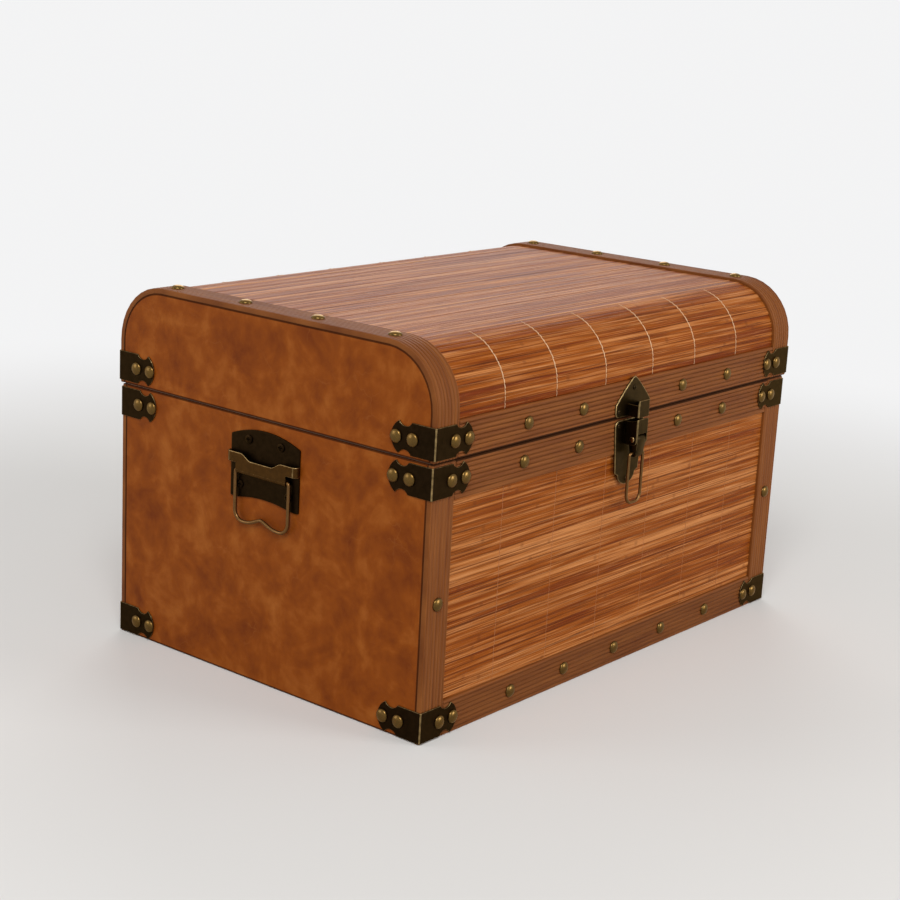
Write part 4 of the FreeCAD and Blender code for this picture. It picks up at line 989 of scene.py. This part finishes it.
class TRUNK_OT_nails(bpy.types.Operator):
    """Domed brass nails on the brackets and along the trim"""
    bl_idname = "trunk.nails"
    bl_label = "Domed nails"

    def execute(self, context):
        sizes = context.scene.trunk_sizes
        brass = finish("aged_brass")
        radius, height = sizes.nail_radius / MM, sizes.nail_height / MM
        thickness = sizes.trim_thickness / MM
        rail_pitch, front_shift, band_pitch = 71.5, 3.0, 78.0
        every = rail_pitch * np.arange(-2, 3)
        beside_latch = every[every != 0]
        post_x, band_x = (END_X + POST_X) / 2, (LID_END_X + BAND_X) / 2

        def along_rail(rail, stations):
            side = -1.0 if rail.startswith("front") else 1.0
            face = max(abs(edge) for edge in span(rail, Y))
            shift = front_shift if side < 0 else 0.0
            return [((x + shift, side * face, sum(span(rail, Z)) / 2), (0, side, 0)) for x in stations]

        body = along_rail("front_bottom_rail", every) + along_rail("back_bottom_rail", every)
        body += along_rail("front_top_rail", beside_latch) + along_rail("back_top_rail", every)
        body += [((end * post_x, side * TRIM_Y, RIM_Z / 2), (0, side, 0)) for end in (-1, 1) for side in (-1, 1)]
        lid = along_rail("front_lid_rail", beside_latch) + along_rail("back_lid_rail", every)
        lid += [((end * band_x, band_pitch * step, LID_TOP_Z + thickness), (0, 0, 1))
                for end in (-1, 1) for step in (-1.5, -0.5, 0.5, 1.5)]
        groups = {"body_trim_nails": (body, "trunk_body"), "lid_trim_nails": (lid, "lid"),
                  "body_bracket_nails": (self.on_brackets("bottom_corner_brackets") +
                                         self.on_brackets("rim_corner_brackets"), "trunk_body"),
                  "lid_bracket_nails": (self.on_brackets("lid_corner_brackets"), "lid")}
        for name, (places, body_name) in groups.items():
            heads = [dome(base, out, radius, height) for base, out in places]
            make(name + "_domes", heads, brass, body_name, [name], crease=60.0)
        return {"FINISHED"}

    @staticmethod
    def on_brackets(name):
        """Base and direction of the nails on a level of brackets: two on each arm, measured from the fold."""
        inner, outer = 22.0, 38.0
        fold_x, fold_y, z = span(name, X)[1], span(name, Y)[1], sum(span(name, Z)) / 2
        places = []
        for reach in (inner, outer):
            for end in (-1, 1):
                for side in (-1, 1):
                    places.append(((end * fold_x, side * (fold_y - reach), z), (end, 0, 0)))
                    places.append(((end * (fold_x - reach), side * fold_y, z), (0, side, 0)))
        return places


class TRUNK_OT_handles(bpy.types.Operator):
    """Drop handles: plate, strap, screws and bail"""
    bl_idname = "trunk.handles"
    bl_label = "Drop handles"

    def execute(self, context):
        iron, bronze, wire = finish("aged_iron"), finish("aged_bronze"), finish("aged_wire")
        back_x, face_x = span("right_handle_plate", X)
        pieces = (("handle_plate", self.plate(back_x, face_x), iron, "trunk_body", "blackened_steel"),
                  ("handle_strap", self.strap(face_x), bronze, "trunk_body", "antique_brass"),
                  ("handle_screws", self.screws(face_x), iron, "trunk_body", "blackened_steel"),
                  ("handle_bail", [self.bail()], wire, None, "bronze_wire"))
        for side, axes in (("right", ()), ("left", (X,))):
            for name, surfaces, material, body, slot in pieces:
                make(side + "_" + name + "_fine", [mirrored(surface, *axes) for surface in surfaces], material,
                     body or side + "_bail", [side + "_" + name])
        return {"FINISHED"}

    @staticmethod
    def plate(back_x, face_x):
        """Plate with a curved crown, upright sides, two short legs and a shallow arch between them."""
        half, (foot, crown) = span("right_handle_plate", Y)[1], span("right_handle_plate", Z)
        shoulder, leg, rise, corner = 7.6, 29.0, 3.3, 1.5
        y = np.linspace(0, corner - half, 24)
        top = np.stack([y, crown - shoulder * (y / half) ** 2], axis=-1)
        side = np.concatenate([arc((corner - half, crown - shoulder - 1.0), corner, 100, 180, 5),
                               arc((corner - half, foot + corner), corner, 180, 270, 6)])
        y = np.linspace(-leg, 0, 18)
        arch = np.stack([y, foot + rise * (1 - (y / leg) ** 2)], axis=-1)
        outline = mirror_closed(np.concatenate([top, side, arch]))
        return [plate(outline, X, back_x, face_x - back_x, 0.4, 3, 0.62)]

    @staticmethod
    def strap(face_x):
        """Strap with a dip in its top edge, ends rolled back to the plate and a rolled knuckle along its foot."""
        ear, (low, high) = span("right_handle_strap", Y)[1], span("right_handle_strap", Z)
        front = span("right_handle_strap", X)[1]
        sheet, roll, ear_height, panel = 0.85, 4.4, 8.3, 27.3
        dip, dip_inner, dip_outer = 4.8, 11.0, 22.5
        axis_x, axis_z = (front + face_x) / 2, low + 3.0
        tube_radius, bore = (front - face_x) / 2, 1.6
        centre = np.array([front - roll, ear - roll])
        turn = np.radians(np.linspace(90, 0, 10))
        normal = np.stack([np.cos(turn), np.sin(turn)], axis=-1)
        curl = np.concatenate([[[face_x, ear - sheet]], centre + (roll - sheet) * normal])
        curl_normal = np.concatenate([[[0.0, 1.0]], normal])
        dip_run = np.linspace(dip_outer + 1, dip_inner - 1, 16)
        y = np.concatenate([[30.0, panel, panel, panel - 0.6], dip_run, [5.0, 0.0]])
        line = np.stack([np.full(len(y), front - sheet), y], axis=-1)
        path = np.concatenate([curl, line])
        outward = np.concatenate([curl_normal, np.tile([1.0, 0.0], (len(y), 1))])
        top = high - dip * smooth((dip_outer - path[:, 1]) / (dip_outer - dip_inner))
        ears = len(curl) + 2
        foot = np.concatenate([np.full(ears, high - ear_height), np.full(len(path) - ears, axis_z)])
        fold = np.concatenate([np.zeros(len(curl) - 4), [0.3, 0.75, 0.75, 0.5], np.zeros(len(y))])
        flip = [1.0, -1.0]
        sheet_surface = strip(both_halves(path, flip), both_halves(outward, flip), both_halves(foot), both_halves(top),
                              sheet, 0.35, both_halves(fold))
        rings = [in_plane(arc((axis_x, axis_z), radius, 0, 345, 24), Y, y_end)
                 for radius, y_end in ((tube_radius, -panel), (tube_radius, panel), (bore, panel), (bore, -panel))]
        knuckle = lattice(np.stack(rings), close_rows=True, close_columns=True, edge=0.0)
        return [sheet_surface, knuckle]

    @staticmethod
    def screws(face_x):
        """Two screws near the crown of the plate and two near its legs."""
        radius, height = 3.6, 1.5
        crown = span("right_handle_plate", Z)[1]
        places = ((17.5, crown - 9.2), (26.5, crown - 47.2))
        return [screw((face_x, side * y, z), (1, 0, 0), radius, height) for y, z in places for side in (-1, 1)]

    @staticmethod
    def bail():
        """Wire from inside the strap, down each side, round the corners and up to a peak in the middle."""
        radius = 1.5
        half, bottom = span("right_handle_bail", Y)[1] - radius, span("right_handle_bail", Z)[0] + radius
        axis_x, axis_z = sum(span("right_handle_bail", X)) / 2, span("right_handle_bail", Z)[1] - radius
        bend, corner, cusp, line, slope = 2.0, 9.0, 19.0, 9.0, 21.4
        curve = (cusp - line) / math.sin(math.radians(slope))
        line_z = bottom + curve * (1 - math.cos(math.radians(slope)))
        near_peak = np.array([-1.6, -0.8, 0.0])
        rise = line_z + (line + near_peak) * math.tan(math.radians(slope)) - [0.0, 0.06, 0.25]
        left = np.concatenate([[[bend - half + 10.0, axis_z]], arc((bend - half, axis_z - bend), bend, 90, 180, 8),
                               arc((corner - half, bottom + corner), corner, 180, 270, 14),
                               arc((-cusp, bottom + curve), curve, 270, 270 + slope, 9),
                               np.stack([near_peak, rise], axis=-1)])
        return tube(in_plane(both_halves(left, [-1, 1]), X, axis_x), radius, (1, 0, 0), 16)


class TRUNK_OT_latch(bpy.types.Operator):
    """Draw latch: keeper, base, lever, pin, screws and wire loop"""
    bl_idname = "trunk.latch"
    bl_label = "Draw latch"

    sheet = 1.2
    half = 7.75
    pin_y = -178.5
    pin_z = 199.2
    hub = 4.6
    plate_height = 55.7
    screw_inset = 4.6

    def execute(self, context):
        iron, wire = finish("aged_latch"), finish("aged_wire")
        back_y = -LID_TRIM_Y
        foot, tip = span("latch_keeper", Z)
        face_y = back_y - self.sheet
        make("latch_keeper_fine", self.keeper(back_y, foot, tip), iron, "lid", ["latch_keeper"])
        wide, narrow, from_tip = 19.9, 15.9, 9.2
        level = foot + self.screw_inset
        heads = self.screws(((-wide, level), (wide, level), (0.0, tip - from_tip)), face_y)
        make("latch_keeper_screws_fine", heads, iron, "lid", ["latch_keeper_screws"])
        make("latch_base_fine", self.base(), iron, "trunk_body", ["latch_base"])
        low = span("latch_base", Z)[0]
        level = low + self.plate_height - self.screw_inset
        places = ((-narrow, level), (narrow, level), (0.0, low + self.screw_inset))
        heads = self.screws(places, -TRIM_Y - self.sheet)
        make("latch_base_screws_fine", heads, iron, "trunk_body", ["latch_base_screws"])
        make("latch_lever_fine", [self.lever()], iron, "latch_lever", ["latch_lever"])
        line = np.array([[-self.half, self.pin_y, self.pin_z], [self.half, self.pin_y, self.pin_z]])
        pin, rivet, rivet_height = 1.5, 2.3, 0.8
        rivets = [dome(line[0], (-1, 0, 0), rivet, rivet_height), dome(line[1], (1, 0, 0), rivet, rivet_height)]
        make("latch_pin_fine", [tube(line, pin, (0, 1, 0))] + rivets, wire, "trunk_body", ["latch_pin"])
        make("latch_loop_fine", [self.loop()], wire, "latch_loop", ["latch_loop"])
        return {"FINISHED"}

    @staticmethod
    def screws(places, face_y):
        """Small screws at places (x, z) on a face that looks to the front."""
        radius, height = 2.2, 0.9
        return [screw((x, face_y, z), (0, -1, 0), radius, height) for x, z in places]

    def channel(self, back_y, front_y, foot, top, bevel):
        """Sheet folded round the front into two cheeks: foot and top give its edges at (x, y) on the way."""
        fold = 1.4
        reach = np.linspace(back_y, front_y + fold, 14)
        cheek = np.stack([np.full(len(reach), -self.half), reach], axis=-1)
        turn = arc((fold - self.half, front_y + fold), fold, 180, 270, 7)[1:-1]
        wall = np.array([[fold - self.half, front_y], [fold - self.half + 0.3, front_y], [0.0, front_y]])
        path = np.concatenate([cheek, turn, wall])
        normal = np.concatenate([np.tile([-1.0, 0.0], (len(cheek), 1)),
                                 (turn - [fold - self.half, front_y + fold]) / fold,
                                 np.tile([0.0, -1.0], (len(wall), 1))])
        mark = np.concatenate([np.zeros(len(cheek) - 2), [0.0, 0.3], np.full(len(turn), 0.95), [0.3, 0.0, 0.0]])
        path, normal = both_halves(path, [-1, 1]), both_halves(normal, [-1, 1])
        front = np.clip(-normal[:, 1], 0.0, 1.0)
        return strip(path - normal * self.sheet, normal, foot(path[:, 1], front), top(path[:, 1], front), self.sheet,
                     bevel, both_halves(mark))

    def keeper(self, back_y, foot, tip):
        """Pointed plate with rounded feet, and a hook folded out of it below."""
        half, corner = span("latch_keeper", X)[1], 4.0
        shoulder, tip_half, bulge = foot + 10.3, 2.5, 1.0
        share = np.linspace(0, 1, 14)
        slope = np.stack([-tip_half - (half - tip_half) * share, tip - 0.8 + (shoulder - tip + 0.8) * share +
                          4 * bulge * share * (1 - share)], axis=-1)
        point = np.array([[0.0, tip], [-0.5 * tip_half, tip - 0.2]])
        left = np.concatenate([point, slope, arc((corner - half, foot + corner), corner, 180, 270, 8), [[0.0, foot]]])
        shield = plate(mirror_closed(left), Y, back_y, -self.sheet, 0.55, 3)
        seat, lip = foot + 10.1, foot + 13.9
        hook = self.channel(back_y - self.sheet, span("latch_keeper", Y)[0], lambda y, front: np.full(len(y), foot),
                            lambda y, front: seat + (lip - seat) * smooth(front / 0.7), 0.35)
        return [shield, hook]

    def base(self):
        """Plate with rounded top corners and a narrower foot, and the folded housing of the lever."""
        half, (low, high) = span("latch_base", X)[1], span("latch_base", Z)
        top, corner = low + self.plate_height, 5.0
        waist, waist_z, step, step_z = 16.5, low + 11.0, 12.0, low + 8.75
        left = np.concatenate([[[0.0, top]], arc((corner - half, top - corner), corner, 90, 180, 9),
                               [[-waist - 0.2, waist_z + 4.0], [-waist, waist_z], [-step, step_z]],
                               (arc((0, 0), 1.0, 190, 270, 12) * [step, step_z - low]) + [0, step_z]])
        back_plate = plate(resampled(mirror_closed(left), 4.0), Y, -TRIM_Y, -self.sheet, 0.5, 3)
        front_y = span("latch_base", Y)[0]
        ear = self.pin_y - front_y
        wall_foot = RIM_Z - 12.8

        def foot(y, front):
            under = np.clip((self.pin_y - y) / ear, 0.0, 1.0)
            return np.where(front > 0.99, wall_foot, self.pin_z - ear * np.sqrt(1 - under ** 2))

        def crest(y, _front):
            share = np.clip((-TRIM_Y - y) / (-TRIM_Y - front_y), 0.0, 1.0)
            return high - 2.1 * (1 - share ** 3) - 0.5 * np.sin(np.pi * share)

        return [back_plate, self.channel(-TRIM_Y - self.sheet, front_y, foot, crest, 0.35)]

    def lever(self):
        """Lever: the hull of a hub and a smaller eye in (y, z), carried along x, narrower towards the eye."""
        eye, hub_half, eye_half = 3.3, 6.2, 4.9
        eye_z = span("latch_lever", Z)[0] + eye
        lean = math.degrees(math.asin((self.hub - eye) / (self.pin_z - eye_z)))
        outline = np.concatenate([arc((self.pin_y, self.pin_z), self.hub, -lean, 180 + lean, 24),
                                  arc((self.pin_y, eye_z), eye, 180 + lean, 360 - lean, 16)])
        bevel = 0.5
        row_inset = np.array([bevel, 0.3 * bevel, 0.0, 0.0, 0.3 * bevel, bevel])[:, None, None]
        row_x = np.array([-1.0, -1.0, -1.0, 1.0, 1.0, 1.0])[:, None]
        back = np.array([0.0, 0.3 * bevel, bevel, bevel, 0.3 * bevel, 0.0])[:, None]
        flat = outline + inwards(outline) * row_inset
        taper = np.clip((self.pin_z - flat[..., 1]) / (self.pin_z - eye_z + eye), 0.0, 1.0)
        x = row_x * (hub_half - (hub_half - eye_half) * taper - back)
        worn = np.array([0.4, 0.9, 0.6, 0.6, 0.9, 0.4])[:, None]
        return capped(lattice(np.concatenate([x[..., None], flat], axis=2), close_columns=True, uv=flat, edge=worn))

    def loop(self):
        """Wire from inside the lever's eye, down both sides and round the foot."""
        radius, bend, corner, inside = 1.3, 2.0, 7.0, 2.3
        half, (low, high) = span("latch_loop", X)[1] - radius, span("latch_loop", Z)
        top, bottom = high - radius, low + radius
        left = np.concatenate([[[-inside, top]], arc((bend - half, top - bend), bend, 90, 180, 8),
                               arc((corner - half, bottom + corner), corner, 180, 270, 14), [[0.0, bottom]]])
        return tube(in_plane(both_halves(left, [-1, 1]), Y, self.pin_y), radius, (0, 1, 0), 16)


class TRUNK_OT_hinges(bpy.types.Operator):
    """Stop hinges at the back"""
    bl_idname = "trunk.hinges"
    bl_label = "Hinges"

    def execute(self, context):
        iron = finish("aged_iron")
        paint("aged_iron", "left_hinge_body_leaf", "right_hinge_body_leaf", "left_hinge_lid_leaf",
              "right_hinge_lid_leaf")
        paint("aged_wire", "hinge_pins")
        hinge_x = sum(span("right_hinge_lid_leaf", X)) / 2
        pitch, radius, height = 17.0, 3.2, 1.0
        for name, body in (("hinge_body_screws", "trunk_body"), ("hinge_lid_screws", "lid")):
            base, z = span(name, Y)[0], sum(span(name, Z)) / 2
            heads = [screw((side * (hinge_x + step), base, z), (0, 1, 0), radius, height)
                     for side in (-1, 1) for step in (-pitch, 0.0, pitch)]
            make(name + "_fine", heads, iron, body, [name])
        return {"FINISHED"}


class TRUNK_OT_stage(bpy.types.Operator):
    """Floor, studio lights, pale surroundings and the camera"""
    bl_idname = "trunk.stage"
    bl_label = "Stage"

    def execute(self, context):
        scene = context.scene
        scene.view_settings.view_transform = "Standard"
        self.camera(scene)
        self.floor(scene)
        self.lights(scene)
        self.surroundings(scene)
        return {"FINISHED"}

    @staticmethod
    def camera(scene):
        """Camera fitted to the trunk's corners: its axes come from azimuth, elevation and roll."""
        azimuth, elevation, roll = (math.radians(angle) for angle in (-50.96, 14.48, 3.03))
        back = np.array([math.sin(azimuth) * math.cos(elevation), -math.cos(azimuth) * math.cos(elevation),
                         math.sin(elevation)])
        level = np.array([math.cos(azimuth), math.sin(azimuth), 0.0])
        upright = np.cross(back, level)
        right = math.cos(roll) * level + math.sin(roll) * upright
        up = math.cos(roll) * upright - math.sin(roll) * level
        data = bpy.data.cameras.new("camera")
        data.sensor_width = 36.0
        data.lens = 74.0
        camera = bpy.data.objects.new("camera", data)
        set_place(camera, right, up, back, (-1.2393, -0.9869, 0.5611))
        scene.collection.objects.link(camera)
        scene.camera = camera

    @staticmethod
    def floor(scene):
        """Wide floor, pale and matt near the trunk, fading into the white of the surroundings further out."""
        reach = 8.0
        mesh = bpy.data.meshes.new("floor")
        mesh.from_pydata([(-reach, -reach, 0), (reach, -reach, 0), (reach, reach, 0), (-reach, reach, 0)], [],
                         [(0, 1, 2, 3)])
        material, tree, shader = material_tree("studio_floor", Roughness=0.9, Specular_IOR_Level=0.1)
        shader.inputs["Base Color"].default_value = scene.trunk_colours.floor
        far = node(tree, "ShaderNodeVectorMath", {0: on_object(tree)}, operation="LENGTH").outputs["Value"]
        fade = node(tree, "ShaderNodeMapRange", {0: far, 1: 0.5, 2: 1.3}, interpolation_type="SMOOTHSTEP").outputs[0]
        fade = calc(tree, "MULTIPLY", fade, background_seen(tree))
        white = node(tree, "ShaderNodeEmission", {"Color": BACKGROUND, "Strength": 1.0}).outputs[0]
        mixed = node(tree, "ShaderNodeMixShader", {0: fade, 1: shader.outputs[0], 2: white}).outputs[0]
        tree.links.new(mixed, tree.nodes["Material Output"].inputs["Surface"])
        mesh.materials.append(material)
        floor = bpy.data.objects.new("floor", mesh)
        scene.collection.objects.link(floor)

    @staticmethod
    def lights(scene):
        """Soft lamps: key above the camera's left, fill at the right, one at the left side, and one behind for the top
        and the back."""
        middle = np.array([0.0, 0.0, 0.15])
        lamps = (("key", (-2.3, -1.7, 3.0), 1.8, 100.0), ("fill", (1.3, -3.2, 1.1), 1.5, 50.0),
                 ("side", (-2.5, 2.2, 1.0), 1.4, 18.0), ("back", (2.5, 2.3, 1.9), 2.0, 36.0))
        for name, place, size, power in lamps:
            data = bpy.data.lights.new(name, "AREA")
            data.shape = "SQUARE"
            data.size = size
            data.energy = power
            lamp = bpy.data.objects.new(name, data)
            back = np.array(place) - middle
            back /= np.linalg.norm(back)
            level = np.cross([0.0, 0.0, 1.0], back)
            level /= np.linalg.norm(level)
            set_place(lamp, level, np.cross(back, level), back, place)
            scene.collection.objects.link(lamp)

    @staticmethod
    def surroundings(scene):
        """Pale studio air: white to the camera and in reflections, dimmer as light on the trunk."""
        world = bpy.data.worlds.new("studio")
        world.use_nodes = True
        scene.world = world
        tree = world.node_tree
        tree.nodes.clear()
        strength = ranged(tree, background_seen(tree), 0.0, 1.0, 0.4, 1.0)
        air = node(tree, "ShaderNodeBackground", {"Color": BACKGROUND, "Strength": strength})
        node(tree, "ShaderNodeOutputWorld", {"Surface": air.outputs[0]})


def background_seen(tree):
    """Socket that is 1 for what the camera, reflections and clear materials see of the background."""
    path = node(tree, "ShaderNodeLightPath").outputs
    seen = calc(tree, "MAXIMUM", path["Is Camera Ray"], path["Is Glossy Ray"])
    return calc(tree, "MAXIMUM", seen, path["Is Transmission Ray"])


STEPS = (TRUNK_OT_boards, TRUNK_OT_lining, TRUNK_OT_bamboo, TRUNK_OT_leather, TRUNK_OT_trim, TRUNK_OT_brackets,
         TRUNK_OT_nails, TRUNK_OT_handles, TRUNK_OT_latch, TRUNK_OT_hinges, TRUNK_OT_stage)


class TRUNK_PT_build(bpy.types.Panel):
    """Steps that dress the trunk"""
    bl_idname = "TRUNK_PT_build"
    bl_label = "Bamboo trunk"
    bl_space_type = "VIEW_3D"
    bl_region_type = "UI"
    bl_category = "Trunk"

    def draw(self, context):
        for step in STEPS:
            self.layout.operator(step.bl_idname)
        for group in (context.scene.trunk_sizes, context.scene.trunk_colours):
            for name in group.__annotations__:
                self.layout.prop(group, name)


CLASSES = (TrunkSizes, TrunkColours, *STEPS, TRUNK_PT_build)


def register():
    for item in CLASSES:
        bpy.utils.register_class(item)
    bpy.types.Scene.trunk_sizes = bpy.props.PointerProperty(type=TrunkSizes)
    bpy.types.Scene.trunk_colours = bpy.props.PointerProperty(type=TrunkColours)


def unregister():
    del bpy.types.Scene.trunk_colours
    del bpy.types.Scene.trunk_sizes
    for item in reversed(CLASSES):
        bpy.utils.unregister_class(item)


def main():
    register()
    for step in STEPS:
        group, name = step.bl_idname.split(".")
        getattr(getattr(bpy.ops, group), name)()


if __name__ == "__main__":
    main()
